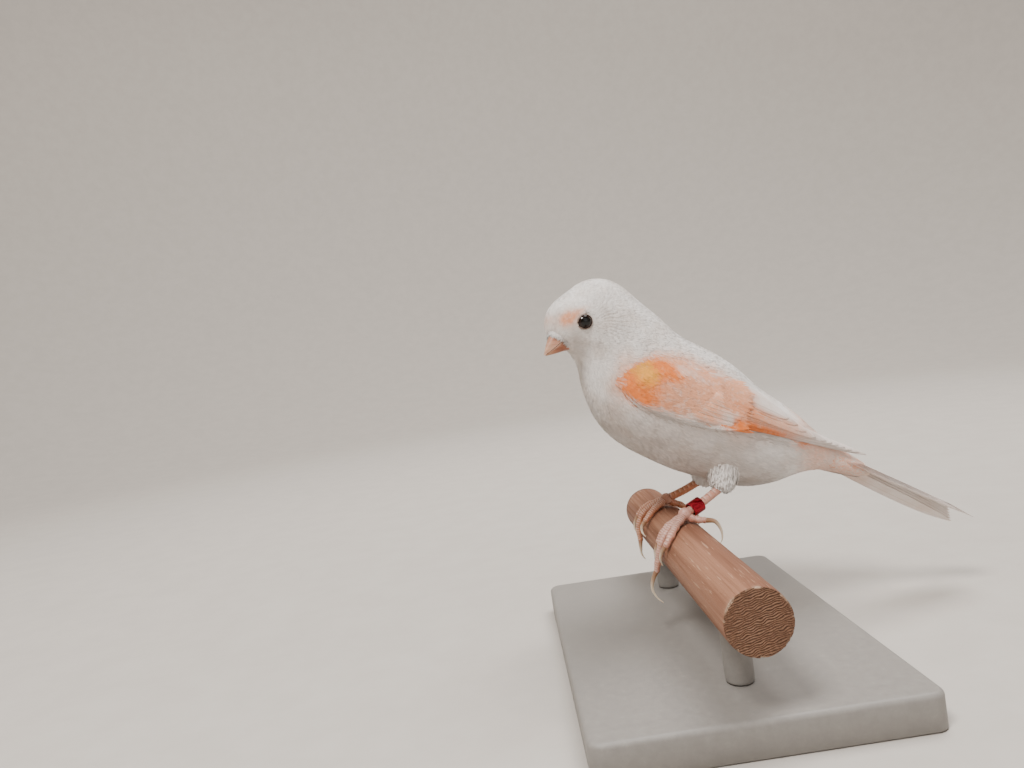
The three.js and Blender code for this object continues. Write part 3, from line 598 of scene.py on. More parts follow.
def lifted_over_wing(points, height):
    """Moves places that lie over the front of the wing out to its surface."""
    rel = points - WING_BEND
    back, up = rel @ WING_ALONG, rel @ WING_UP
    low, high = profile(ARM_LOWER, back), profile(ARM_UPPER, back)
    high = np.maximum(high, np.interp(back, [20, 26, 36, 46, 54], [0, 8.4, 8.8, 6.8, 4.0]))
    near = (back > -0.6) & (back < 54) & (up > low - 0.5) & (up < high + 3)
    out = points.copy()
    if near.any():
        b, u = back[near], up[near]
        beside = np.interp(b, [16, 24, 32, 46, 54], [0, 1.0, 1.9, 1.8, 0.3])  # up to the inner flight feathers
        raised = np.maximum(arm_height(b, u) * smooth(b, -0.5, 1.0), beside)
        level = wing_distance(b, u)[0] + raised + height[near]
        edge = smooth(u, high[near] + 2.5, high[near] - 1.5)
        wanted = np.abs(points[near, 1]) * (1 - edge) + np.maximum(level, np.abs(points[near, 1])) * edge
        out[near, 1] = np.sign(points[near, 1]) * wanted
    return out


def clear_of_eye(reach, start, heading):
    """Shortens locks that would lie over the eye."""
    for _ in range(6):
        nearest = np.minimum(near_eye(start + heading * reach[:, None]), near_eye(start + heading * reach[:, None] / 2))
        reach = np.where(nearest < 2.12, reach * 0.72, reach)
    return reach


def body_feathers(roots, along, random, locks, t):
    """The locks of the feathers at the roots: lines, their upper sides, widths and the index of the root."""
    _, normals = body_normal(roots)
    lie = feather_lie(roots, normals, along)
    lie = unit(lie + 0.11 * random.normal(size=lie.shape))
    lie = unit(lie - normals * np.sum(lie * normals, axis=-1, keepdims=True))
    aside = np.cross(normals, lie)
    length = feather_length(roots) * random.uniform(0.85, 1.2, len(roots))
    half = 0.27 * length
    index = np.repeat(np.arange(len(roots)), locks)
    spread = np.tile(np.linspace(-1, 1, locks), len(roots)) + random.normal(0, 0.2, len(index))
    reach = length[index] * (1 - 0.2 * spread**2) * random.uniform(0.78, 1.1, len(index))
    start = roots[index] + aside[index] * (0.4 * half[index] * spread)[:, None]
    reach = clear_of_eye(reach, start, lie[index] + 0.2 * aside[index] * spread[:, None])
    t = t[None, :]
    sideways = half[index, None] * spread[:, None] * (0.3 + 0.7 * t**0.85)
    lines = (
        roots[index, None, :]
        + lie[index, None, :] * (reach[:, None] * t)[..., None]
        + aside[index, None, :] * sideways[..., None]
    )
    depth = coat_depth(roots)[index]
    tip = random.uniform(0.6, 1.0, len(index)) * (1 - 0.14 * np.abs(spread))
    rise = (-0.22 + (tip[:, None] + 0.22) * t**0.8) * depth[:, None]
    distance, over = body_normal(lines)
    lines = lines + over * (rise - depth[:, None] - distance)[..., None]
    return lines, over, 2 * half[index] / locks * 2.7, index


class Coat:
    """Gathers locks, and cuts them into pieces."""

    def __init__(self):
        self.parts = []

    def add(self, lines, over, width, thickness, uv, masks, zone):
        self.parts.append((lines, over, width, thickness, uv, masks, zone))

    def make(self, names, material):
        for number, name in enumerate(names):
            pieces = []
            for lines, over, width, thickness, uv, masks, zone in self.parts:
                chosen = zone == number
                if not chosen.any():
                    continue
                steps = lines.shape[1]
                points, faces, normals = lock_bodies(lines[chosen], over[chosen], width[chosen], thickness[chosen])
                spots = lock_patches(uv[chosen], steps)
                share = np.repeat(np.linspace(0, 1, steps), 3)[: 3 * steps - 2]
                marks = {key: np.repeat(values[chosen], 3 * steps - 2) for key, values in masks.items()}
                marks.update({"along": np.tile(share, chosen.sum()), "nx": normals[:, 0], "ny": normals[:, 1]})
                marks.update({"nz": normals[:, 2], "u": spots[:, 0], "v": spots[:, 1]})
                pieces.append((placed(BIRD, points), [faces], marks))
            if not pieces:
                continue
            points, faces, marks = merged(pieces)
            normals = np.column_stack([marks.pop(key) for key in ("nx", "ny", "nz")]) @ BIRD[:3, :3].T
            uv = np.column_stack([marks.pop("u"), marks.pop("v")])
            new_piece(name, points, faces, material, marks, uv, normals)


# Vanes: the large feathers of wing and tail, with a shaft, a rounded tip and fine splits

VANE_WIDTH = [(0, 0.5), (0.2, 0.9), (0.5, 1), (0.72, 0.9), (0.86, 0.66), (0.95, 0.36), (1, 0.06)]


def vane(place, root, tip, bow, width, height, shaft=0.0, under=0.16, steps=26, across=9, camber=0.3, sunk=None):
    """One large feather over a surface that place() gives: (points, faces, attributes, chart)."""
    root, tip = np.array(root, float), np.array(tip, float)
    run = tip - root
    aside = np.array([-run[1], run[0]]) / np.linalg.norm(run)
    t = 1 - (1 - np.linspace(0, 1, steps)) ** 1.2
    s = np.linspace(-1, 1, across)
    line = root + np.outer(t, run) + np.outer(bow * 4 * t * (1 - t), aside)
    half = width / 2 * profile(VANE_WIDTH, t)
    lateral = half[:, None] * s[None, :]
    chart = line[:, None, :] + lateral[..., None] * aside
    out = height[0] + (height[1] - height[0]) * t
    if sunk is not None:
        low = np.minimum(sunk(line[:, 0], line[:, 1]), out)
        out = low + (out - low) * smooth(t, 0.02, 0.42)
    ridge = 0.10 * np.exp(-(((s - shaft) / 0.1) ** 2))[None, :] * (1 - 0.7 * t[:, None])
    thin = np.clip((1 - t) * 6, 0.25, 1)[:, None]
    upper = out[:, None] - camber * s[None, :] ** 2 * thin + ridge
    lower = out[:, None] - camber * s[None, :] ** 2 * thin - under * (1 - 0.75 * np.abs(s[None, :])) * thin - 0.03
    top = place(chart[..., 0], chart[..., 1], upper)
    bottom = place(chart[..., 0], chart[..., 1], lower)
    ring = np.concatenate([top, bottom[:, ::-1]], axis=1)
    points, faces = capped(ring)
    along = np.repeat(t, 2 * across)
    cross = np.tile(np.concatenate([s - shaft, (s - shaft)[::-1]]), steps)
    flat = np.concatenate([chart, chart[:, ::-1]], axis=1).reshape(-1, 2)
    flat = np.vstack([flat, chart[0].mean(0), chart[-1].mean(0)])
    attributes = {"along": np.append(along, [0, 1]), "across": np.append(cross, [0, 0])}
    return points, faces, attributes, flat


def between(first, last, count):
    """Feathers of a row, from the first one's values to the last one's."""
    for i in range(count):
        t = i / (count - 1) if count > 1 else 0
        yield {
            key: (np.array(first[key], float) * (1 - t) + np.array(last[key], float) * t).tolist()
            if not np.isscalar(first[key])
            else first[key] * (1 - t) + last[key] * t
            for key in first
        }


WING_ROWS = [
    # primaries, from the lowest up
    (7, {"root": (12, -2.4), "tip": (77.6, 1.6), "height": (0.3, 0.3), "width": 3.6, "bow": 1.4},
        {"root": (17, 0.4), "tip": (62, 2.0), "height": (1.4, 1.7), "width": 4.0, "bow": 0.8}),
    # secondaries
    (5, {"root": (18, 0.4), "tip": (57.5, 2.0), "height": (1.6, 2.0), "width": 4.2, "bow": 0.6},
        {"root": (21, 4), "tip": (50, 3.0), "height": (2.2, 2.7), "width": 4.6, "bow": 0.5}),
    # tertials
    (4, {"root": (22, 4.4), "tip": (56.3, 1.7), "height": (2.3, 2.8), "width": 4.2, "bow": 0.6},
        {"root": (24, 7.2), "tip": (46.5, 4.6), "height": (2.7, 3.2), "width": 4.6, "bow": 0.7}),
    # primary coverts
    (5, {"root": (9, -3.2), "tip": (37, -1.9), "height": (0.9, 1.3), "width": 2.4, "bow": 0.4},
        {"root": (14, -1.2), "tip": (30, -0.2), "height": (1.3, 1.8), "width": 3.0, "bow": 0.4}),
    # greater coverts
    (9, {"root": (14, -1.2), "tip": (30.5, -1.4), "height": (1.5, 2.2), "width": 3.0, "bow": 0.0},
        {"root": (22, 7.8), "tip": (36.5, 6.2), "height": (2.2, 3.0), "width": 3.6, "bow": 0.0}),
]


def make_wing(side, name, materials):

    def place(back, up, out):
        return wing_point(side, back, up, out)

    def rooted(back, up):
        inside = np.clip(up, profile(ARM_LOWER, back), profile(ARM_UPPER, back))
        return arm_height(back, inside) - 0.9

    parts = []
    for count, first, last in WING_ROWS:
        for one in between(first, last, count):
            sizes = (one["root"], one["tip"], one["bow"], one["width"], one["height"])
            points, faces, attributes, chart = vane(place, *sizes, shaft=-0.25, sunk=rooted)
            attributes.update(wing_marks(chart[:, 0], chart[:, 1]))
            attributes["vary"] = np.full(len(points), (len(parts) * 0.37) % 1)
            parts.append((points, faces, attributes))
    points, faces, attributes = merged(parts)
    new_piece("wing_" + name + "_vanes", placed(BIRD, points), faces, materials["vane"], attributes, replaces=("wing_" + name,))


def make_arm(side, name, material):
    """The smooth front of the wing under its coverts."""
    back = np.linspace(-0.5, 35.8, 60)
    angle = np.arange(40) / 40 * 2 * np.pi
    low, high = profile(ARM_LOWER, back), profile(ARM_UPPER, back)
    up = low[:, None] + (high - low)[:, None] * (0.5 + 0.5 * np.cos(angle))[None, :]
    outer = profile(ARM_OUTER, back)[:, None] - 0.5
    sine = np.sin(angle)[None, :]
    out = np.where(sine > 0, outer * np.abs(sine) ** 0.8, 4 * sine)
    grid = wing_point(side, np.repeat(back[:, None], 40, 1), up, out)
    points, faces = capped(grid)
    flat = np.stack([np.repeat(back, 40), up.ravel()], -1)
    flat = np.vstack([flat, flat[0], flat[-1]])
    attributes = wing_marks(flat[:, 0], flat[:, 1])
    attributes["vary"] = np.full(len(points), 0.5)
    # Set at the root of a lock, so that the painted root shade darkens the smooth front of the wing
    attributes["along"] = np.zeros(len(points))
    new_piece("wing_" + name + "_arm", placed(BIRD, points), faces, material, attributes)


def covert_locks(side, random, coat, locks=9):
    """Small feathers over the front of the wing, in staggered rows."""
    roots, lengths = [], []
    for back in np.arange(-1.6, 27.5, 0.62):
        low, high = profile(ARM_LOWER, back), profile(ARM_UPPER, back)
        count = max(int((high - low) / 0.66), 2)
        up = np.linspace(low + 0.1, high - 0.1, count) + random.normal(0, 0.16, count)
        roots.append(np.column_stack([back + random.normal(0, 0.2, count), up]))
        lengths.append(np.full(count, profile([(-2, 3.2), (4, 3.8), (10, 4.8), (18, 6.2), (28, 7.4)], back)))
    roots, length = np.vstack(roots), np.concatenate(lengths) * random.uniform(0.85, 1.15, sum(map(len, lengths)))
    index = np.repeat(np.arange(len(roots)), locks)
    spread = np.tile(np.linspace(-1, 1, locks), len(roots)) + random.normal(0, 0.14, len(index))
    lean = -0.03 - 0.30 * smooth(roots[:, 1], 0, 8) * smooth(roots[:, 0], 22, 2) + random.normal(0, 0.05, len(roots))
    reach = length[index] * (1 - 0.2 * spread**2) * random.uniform(0.82, 1.1, len(index))
    half = 0.24 * length[index]
    t = LOCK_STEPS[None, :]
    back = roots[index, 0][:, None] + reach[:, None] * t
    up = roots[index, 1][:, None] + lean[index][:, None] * reach[:, None] * t
    up = up + half[:, None] * spread[:, None] * (0.3 + 0.7 * t**0.85)
    low, high = profile(ARM_LOWER, back), profile(ARM_UPPER, back)
    up = np.clip(up, low - 0.25, None)
    tip = random.uniform(0.5, 1.0, len(index))[:, None]
    out = arm_height(back, np.clip(up, low, high)) - 0.4 + np.array([-0.15, 0.2, 0.4, 0.55]) * tip
    flight = np.interp(back, [20, 30, 40], [1.2, 1.9, 2.3]) + 0.17 * np.clip(up, 0, 8)
    out = np.where(back > 22, np.maximum(out, (flight + 0.15 * tip) * smooth(back, 22, 27)), out)
    lines = wing_point(side, back, up, out)
    wider = wing_point(side, back, up + 0.3, out)
    onward = wing_point(side, back + 0.3, up, out)
    over = unit(np.cross(onward - lines, wider - lines))
    over = over * np.sign(np.sum(over * np.array([0, -side, 0]), -1, keepdims=True))
    width = 2 * half / locks * 1.8
    uv = np.column_stack([0.1 + 0.8 * (roots[index, 0] + 2) / 40, 0.1 + 0.8 * (roots[index, 1] + 6) / 18])
    place = np.column_stack([roots[index, 0] + reach * 0.7, roots[index, 1] + lean[index] * reach * 0.7])
    place = place + np.column_stack([0 * spread, half * spread * 0.7]) + random.normal(0, 0.45, (len(index), 2))
    masks = wing_marks(place[:, 0], place[:, 1])
    masks["vary"] = np.clip(0.5 + 0.18 * random.normal(size=len(index)) + 0.1 * random.normal(size=len(roots))[index], 0, 1)
    coat.add(lines, over, width, np.full(len(index), 0.09), uv, masks, np.zeros(len(index), int))


def make_tail(materials):
    parts = []
    pairs = 6
    for i in range(pairs):
        for side in (-1, 1):
            spread = i / (pairs - 1)
            one = vane(
                tail_point,
                (2, side * (0.5 + 1.1 * spread)),
                (TAIL["length"] - 4 + 4 * spread, side * (1.1 + 3.1 * spread)),
                side * 0.4 * spread,
                5 - 0.8 * spread,
                (1.2 - 1.6 * spread, 0.9 - 1.2 * spread + side * 0.06),
                shaft=0.3 * side,
                steps=36,
                across=11,
                camber=0.25,
            )
            points, faces, attributes, chart = one
            base = smooth(chart[:, 0], 30, 6)
            attributes.update({"peach": 0.12 + 0.45 * base, "orange": 0 * base, "yolk": 0 * base, "dusk": 0 * base})
            attributes["vary"] = np.full(len(points), 0.75 + 0.25 * ((i * 0.31 + side * 0.2) % 1))
            parts.append((points, faces, attributes))
    # the stump under the coverts
    back = np.linspace(-2, 21, 24)
    angle = np.arange(28) / 28 * 2 * np.pi
    half = profile([(-2, 4.6), (5, 4.2), (11, 3.5), (18, 2.2), (22, 1.0)], back)
    above = profile([(-2, 4.0), (5, 3.4), (11, 2.4), (18, 1.6), (22, 0.9)], back)
    below = profile([(-2, 4.8), (5, 4.4), (11, 3.5), (18, 2.1), (22, 0.9)], back)
    tall = np.where(np.sin(angle)[None, :] > 0, above[:, None], below[:, None])
    grid = tail_point(np.repeat(back[:, None], 28, 1), -half[:, None] * np.cos(angle), tall * np.sin(angle))
    points, faces = capped(grid)
    base = np.ones(len(points))
    attributes = {"along": 0 * base, "across": 0 * base, "peach": 0.5 * base, "orange": 0 * base}
    attributes.update({"yolk": 0 * base, "dusk": 0 * base, "vary": 0.5 * base})
    parts.append((points, faces, attributes))
    points, faces, attributes = merged(parts)
    new_piece("tail_vanes", placed(BIRD, points), faces, materials["vane"], attributes, replaces=("tail",))


def tail_covert_locks(random, coat, locks=9):
    """The long soft feathers over and under the root of the tail."""
    count = 620
    back = random.uniform(-3, 9, count)
    angle = random.uniform(0, 2 * np.pi, count)
    length = random.uniform(7, 11.5, count)
    index = np.repeat(np.arange(count), locks)
    spread = np.tile(np.linspace(-1, 1, locks), count) + random.normal(0, 0.14, len(index))
    reach = length[index] * (1 - 0.2 * spread**2) * random.uniform(0.85, 1.05, len(index))
    t = LOCK_STEPS[None, :]
    along = back[index][:, None] + reach[:, None] * t
    turn = angle[index][:, None] + 0.3 * spread[:, None] * (0.3 + 0.7 * t)
    half = profile([(-3, 4.9), (5, 4.5), (11, 3.9), (18, 2.6), (22, 1.5)], along)
    above = profile([(-3, 4.3), (5, 3.7), (11, 2.8), (18, 2.0), (22, 1.3)], along)
    below = profile([(-3, 5.1), (5, 4.8), (11, 3.9), (18, 2.5), (22, 1.3)], along)
    tall = np.where(np.sin(turn) > 0, above, below)
    lift = np.array([-0.3, -0.05, 0.05, 0.1])[None, :]
    lines = tail_point(along, -(half + lift) * np.cos(turn), (tall + lift) * np.sin(turn))
    centre = tail_point(along, 0 * along, 0 * along)
    over = unit(lines - centre)
    masks = {"peach": np.clip(0.45 + 0.25 * random.normal(size=count), 0.1, 1)[index]}
    masks.update({"orange": 0 * spread, "yolk": 0 * spread, "dusk": 0 * spread})
    masks["vary"] = np.clip(0.5 + 0.2 * random.normal(size=len(index)), 0, 1)
    uv = np.column_stack([0.1 + 0.8 * (back[index] + 3) / 12, 0.1 + 0.8 * angle[index] / (2 * np.pi)])
    width = 2 * 0.2 * length[index] / locks * 2
    coat.add(lines, over, width, np.full(len(index), 0.09), uv, masks, np.zeros(len(index), int))


# Materials


def add(tree, kind, inputs=None, **settings):
    """Adds a node. An input is a value or another node's output."""
    made = tree.nodes.new(kind)
    for key, value in settings.items():
        setattr(made, key, value)
    for key, value in (inputs or {}).items():
        if isinstance(value, bpy.types.NodeSocket):
            tree.links.new(value, made.inputs[key])
        else:
            made.inputs[key].default_value = value
    return made


def maths(tree, operation, a, b=0.5, clamp=False):
    return add(tree, "ShaderNodeMath", {0: a, 1: b}, operation=operation, use_clamp=clamp).outputs[0]


def mix(tree, factor, a, b, blend="MIX"):
    made = add(tree, "ShaderNodeMix", {0: factor, 6: a, 7: b}, data_type="RGBA", blend_type=blend)
    return made.outputs[2]


def span(tree, value, low, high, to_low=0.0, to_high=1.0):
    inputs = {0: value, 1: low, 2: high, 3: to_low, 4: to_high}
    return add(tree, "ShaderNodeMapRange", inputs, interpolation_type="SMOOTHSTEP").outputs[0]


def noise(tree, place, scale, detail=3.0, roughness=0.55):
    inputs = {"Vector": place, "Scale": scale, "Detail": detail, "Roughness": roughness}
    return add(tree, "ShaderNodeTexNoise", inputs).outputs["Fac"]


def stretched(tree, place, scale, turn=(0, 0, 0)):
    inputs = {"Vector": place, "Scale": scale, "Rotation": turn}
    return add(tree, "ShaderNodeMapping", inputs).outputs[0]


def group(name, inputs, outputs):
    """A node group with named inputs {name: default} and outputs {name: kind}."""
    tree = bpy.data.node_groups.new(name, "ShaderNodeTree")
    for key, default in inputs.items():
        kind = "NodeSocketColor" if isinstance(default, tuple) and len(default) == 4 else "NodeSocketFloat"
        kind = "NodeSocketVector" if isinstance(default, tuple) and len(default) == 3 else kind
        tree.interface.new_socket(key, in_out="INPUT", socket_type=kind).default_value = default
    for key, kind in outputs.items():
        tree.interface.new_socket(key, in_out="OUTPUT", socket_type="NodeSocket" + kind)
    start = tree.nodes.new("NodeGroupInput").outputs
    end = tree.nodes.new("NodeGroupOutput").inputs
    return tree, start, end


def marks_group():
    """Lays the bird's markings over its white."""
    settings = bpy.context.scene.canary
    inputs = {"Position": (0.0, 0.0, 0.0), "Peach": 0.0, "Orange": 0.0, "Yolk": 0.0, "Dusk": 0.0, "Vary": 0.5}
    inputs.update({"Along": 1.0, "White": (*settings.white, 1.0), "Root shade": 0.9})
    outputs = {"Color": "Color", "Height": "Float"}
    tree, start, end = group("Plumage marks", inputs, outputs)
    fine = noise(tree, start["Position"], 900.0)
    soft = noise(tree, start["Position"], 160.0)
    cream = mix(tree, span(tree, soft, 0.4, 0.68), start["White"], linear(230, 221, 214))
    peach = mix(tree, soft, linear(243, 182, 148), linear(240, 164, 126))
    ground = mix(tree, maths(tree, "MULTIPLY", start["Peach"], span(tree, fine, 0.2, 0.6, 0.7, 1.1), True), cream, peach)
    orange = mix(tree, fine, linear(248, 146, 68), linear(244, 122, 62))
    warm = mix(tree, start["Yolk"], orange, linear(255, 178, 74))
    cover = maths(tree, "MULTIPLY", start["Orange"], span(tree, fine, 0.25, 0.6, 0.85, 1.1), True)
    marked = mix(tree, cover, ground, warm)
    # Warm grey where the grey mask asks for it: the face's grey marks, and painted shade
    grey = mix(tree, maths(tree, "MULTIPLY", start["Dusk"], 0.8, True), marked, linear(150, 130, 116))
    level = span(tree, start["Vary"], 0.0, 1.0, 0.86, 1.06)
    # Painted shade: each lock is darker towards its root, where it lies under its neighbours
    rooted = span(tree, start["Along"], 0.0, 0.75, start["Root shade"], 1.0)
    level = maths(tree, "MULTIPLY", level, rooted)
    shade = add(tree, "ShaderNodeCombineColor", {0: level, 1: level, 2: level}).outputs[0]
    tree.links.new(mix(tree, 1.0, grey, shade, "MULTIPLY"), end["Color"])
    tree.links.new(maths(tree, "ADD", fine, maths(tree, "MULTIPLY", soft, 0.5)), end["Height"])
    return tree


def barbs_group():
    """The shaft and the barbs of a large feather, from the place along it and across it."""
    inputs = {"Along": 0.0, "Across": 0.0, "Barbs": 190.0}
    tree, start, end = group("Feather barbs", inputs, {"Height": "Float", "Shaft": "Float", "Edge": "Float"})
    aside = maths(tree, "ABSOLUTE", start["Across"])
    slanted = maths(tree, "ADD", start["Along"], maths(tree, "MULTIPLY", aside, -0.05))
    wave = maths(tree, "SINE", maths(tree, "MULTIPLY", maths(tree, "MULTIPLY", slanted, start["Barbs"]), 6.28))
    split = add(tree, "ShaderNodeCombineXYZ", {0: maths(tree, "MULTIPLY", slanted, 60.0), 1: start["Across"]}).outputs[0]
    torn = span(tree, noise(tree, split, 1.0), 0.6, 0.72)
    shaft = span(tree, aside, 0.03, 0.09, 1.0, 0.0)
    barbs = maths(tree, "SUBTRACT", maths(tree, "MULTIPLY", wave, 0.5), torn)
    height = maths(tree, "ADD", barbs, maths(tree, "MULTIPLY", shaft, 3.0))
    tree.links.new(height, end["Height"])
    tree.links.new(shaft, end["Shaft"])
    tree.links.new(span(tree, aside, 0.7, 1.0), end["Edge"])
    return tree


def scuff_group():
    """Fine wear for hard and leathery surfaces."""
    inputs = {"Position": (0.0, 0.0, 0.0), "Scale": 400.0}
    tree, start, end = group("Fine wear", inputs, {"Value": "Float", "Spots": "Float", "Height": "Float"})
    fine = noise(tree, start["Position"], start["Scale"], 6.0, 0.65)
    cells = add(tree, "ShaderNodeTexVoronoi", {"Vector": start["Position"], "Scale": start["Scale"]})
    tree.links.new(span(tree, fine, 0.3, 0.7), end["Value"])
    tree.links.new(span(tree, fine, 0.6, 0.72), end["Spots"])
    height = maths(tree, "ADD", maths(tree, "MULTIPLY", cells.outputs["Distance"], 0.4), fine)
    tree.links.new(height, end["Height"])
    return tree


GROUPS = {"Plumage marks": marks_group, "Feather barbs": barbs_group, "Fine wear": scuff_group}


def use(tree, name, inputs):
    """Puts a shared node group into a material, building it the first time."""
    made = bpy.data.node_groups.get(name) or GROUPS[name]()
    node = tree.nodes.new("ShaderNodeGroup")
    node.node_tree = made
    for key, value in inputs.items():
        if isinstance(value, bpy.types.NodeSocket):
            tree.links.new(value, node.inputs[key])
        else:
            node.inputs[key].default_value = value
    return node.outputs


def mask(tree, name):
    return add(tree, "ShaderNodeAttribute", attribute_name=name).outputs["Fac"]


def start_material(name, roughness=0.5, **sockets):
    """A new material: (material, its tree, its shader, the place on the object)."""
    made = bpy.data.materials.new(name)
    made.use_nodes = True
    tree = made.node_tree
    shader = tree.nodes["Principled BSDF"]
    shader.inputs["Roughness"].default_value = roughness
    for key, value in sockets.items():
        shader.inputs[key.replace("_", " ")].default_value = value
    place = tree.nodes.new("ShaderNodeTexCoord").outputs["Object"]
    return made, tree, shader, place


def finish_material(tree, shader, color, height, distance, strength=0.5):
    tree.links.new(color, shader.inputs["Base Color"])
    bump_node = add(tree, "ShaderNodeBump", {"Height": height, "Distance": distance, "Strength": strength})
    tree.links.new(bump_node.outputs[0], shader.inputs["Normal"])


MASKS = {"Peach": "peach", "Orange": "orange", "Yolk": "yolk", "Dusk": "dusk", "Vary": "vary", "Along": "along"}


def coat_material():
    made, tree, shader, place = start_material("Soft feathers", 0.8, Specular_IOR_Level=0.25, Sheen_Weight=0.25)
    shader.inputs["Sheen Roughness"].default_value = 0.4
    shader.inputs["Subsurface Weight"].default_value = 0.0
    marks = use(tree, "Plumage marks", {"Position": place, **{k: mask(tree, v) for k, v in MASKS.items()}})
    finish_material(tree, shader, marks["Color"], marks["Height"], 0.00005, 0.4)
    return made


def skin_material():
    made, tree, shader, place = start_material("Down under the feathers", 0.9, Specular_IOR_Level=0.15)
    marks = use(tree, "Plumage marks", {"Position": place, **{k: mask(tree, v) for k, v in MASKS.items()}})
    wear = use(tree, "Fine wear", {"Position": place, "Scale": 1500.0})
    # Painted shade: the skin is mixed a little towards grey, for the shade between the feathers over it
    painted_shade = mix(tree, 0.12, marks["Color"], linear(150, 134, 124))
    finish_material(tree, shader, painted_shade, wear["Height"], 0.0001, 0.6)
    return made


def vane_material():
    made, tree, shader, place = start_material("Wing and tail feathers", 0.6, Specular_IOR_Level=0.35)
    shader.inputs["Sheen Weight"].default_value = 0.2
    inputs = {k: mask(tree, v) for k, v in MASKS.items() if k != "Along"}
    marks = use(tree, "Plumage marks", {"Position": place, **inputs})
    barbs = use(tree, "Feather barbs", {"Along": mask(tree, "along"), "Across": mask(tree, "across")})
    pale = mix(tree, maths(tree, "MULTIPLY", barbs["Edge"], 0.22), marks["Color"], linear(240, 232, 226))
    shafted = mix(tree, maths(tree, "MULTIPLY", barbs["Shaft"], 0.5), pale, linear(214, 196, 178))
    height = maths(tree, "ADD", barbs["Height"], maths(tree, "MULTIPLY", marks["Height"], 0.4))
    finish_material(tree, shader, shafted, height, 0.00006, 0.5)
    return made


def eye_material():
    made, tree, shader, place = start_material("Eye", 0.05, IOR=1.38, Coat_Weight=0.15)
    shader.inputs["Coat Roughness"].default_value = 0.02
    pupil = mask(tree, "pupil")
    streaks = noise(tree, stretched(tree, place, (900, 900, 900)), 1.0)
    iris = mix(tree, streaks, linear(24, 13, 10), linear(44, 25, 17))
    color = mix(tree, span(tree, pupil, 0.46, 0.54), iris, linear(7, 5, 5))
    finish_material(tree, shader, color, streaks, 0.00001, 0.1)
    return made


def lid_material():
    made, tree, shader, place = start_material("Eyelid", 0.5, Specular_IOR_Level=0.4)
    wear = use(tree, "Fine wear", {"Position": place, "Scale": 2600.0})
    color = mix(tree, wear["Value"], linear(96, 78, 70), linear(150, 132, 122))
    finish_material(tree, shader, color, wear["Height"], 0.0001, 0.7)
    return made


def bill_material(name, rich, plain):
    made, tree, shader, place = start_material(name, 0.38, Specular_IOR_Level=0.5)
    shader.inputs["Coat Weight"].default_value = 0.15
    shader.inputs["Subsurface Weight"].default_value = 0.08
    wear = use(tree, "Fine wear", {"Position": place, "Scale": 900.0})
    lines = noise(tree, stretched(tree, place, (300, 300, 1500)), 1.0, 4.0)
    body = mix(tree, span(tree, lines, 0.35, 0.7), rich, plain)
    tip = span(tree, mask(tree, "along"), 0.45, 0.95)
    body = mix(tree, maths(tree, "MULTIPLY", tip, 0.45), body, linear(226, 190, 160))
    edge = mask(tree, "edge")
    body = mix(tree, maths(tree, "MULTIPLY", edge, 0.55), body, linear(224, 184, 158))
    # Painted shade, darker in the corner of the mouth and in the nostril
    body = mix(tree, maths(tree, "MULTIPLY", mask(tree, "painted_shade"), 0.7), body, linear(92, 58, 46))
    finish_material(tree, shader, body, maths(tree, "ADD", lines, wear["Height"]), 0.00006, 0.5)
    return made


def leg_material(name, pale, ruddy):
    made, tree, shader, place = start_material(name, 0.42, Specular_IOR_Level=0.45)
    shader.inputs["Subsurface Weight"].default_value = 0.1
    wear = use(tree, "Fine wear", {"Position": place, "Scale": 1400.0})
    body = mix(tree, wear["Value"], pale, ruddy)
    body = mix(tree, maths(tree, "MULTIPLY", mask(tree, "scale"), 0.65), body, linear(236, 206, 190))
    body = mix(tree, maths(tree, "MULTIPLY", mask(tree, "seam"), 0.6), body, linear(110, 62, 50))
    finish_material(tree, shader, body, wear["Height"], 0.00008, 0.6)
    return made


def claw_material():
    made, tree, shader, place = start_material("Claw", 0.3, Specular_IOR_Level=0.5)
    shader.inputs["Subsurface Weight"].default_value = 0.2
    shader.inputs["Coat Weight"].default_value = 0.2
    wear = use(tree, "Fine wear", {"Position": place, "Scale": 1100.0})
    along = mask(tree, "along")
    body = mix(tree, span(tree, along, 0.1, 0.75), linear(150, 108, 84), linear(226, 206, 178))
    body = mix(tree, maths(tree, "MULTIPLY", wear["Spots"], 0.4), body, linear(170, 140, 112))
    finish_material(tree, shader, body, wear["Height"], 0.00005, 0.4)
    return made


def ring_material():
    made, tree, shader, place = start_material("Anodised ring", 0.28, Metallic=0.85)
    wear = use(tree, "Fine wear", {"Position": place, "Scale": 900.0})
    scratches = noise(tree, stretched(tree, place, (300, 300, 4000)), 1.0)
    body = mix(tree, span(tree, scratches, 0.35, 0.7), linear(128, 14, 28), linear(168, 34, 48))
    body = mix(tree, maths(tree, "MULTIPLY", wear["Spots"], 0.4), body, linear(206, 130, 130))
    tree.links.new(span(tree, scratches, 0.3, 0.7, 0.2, 0.42), shader.inputs["Roughness"])
    finish_material(tree, shader, body, scratches, 0.00002, 0.3)
    return made


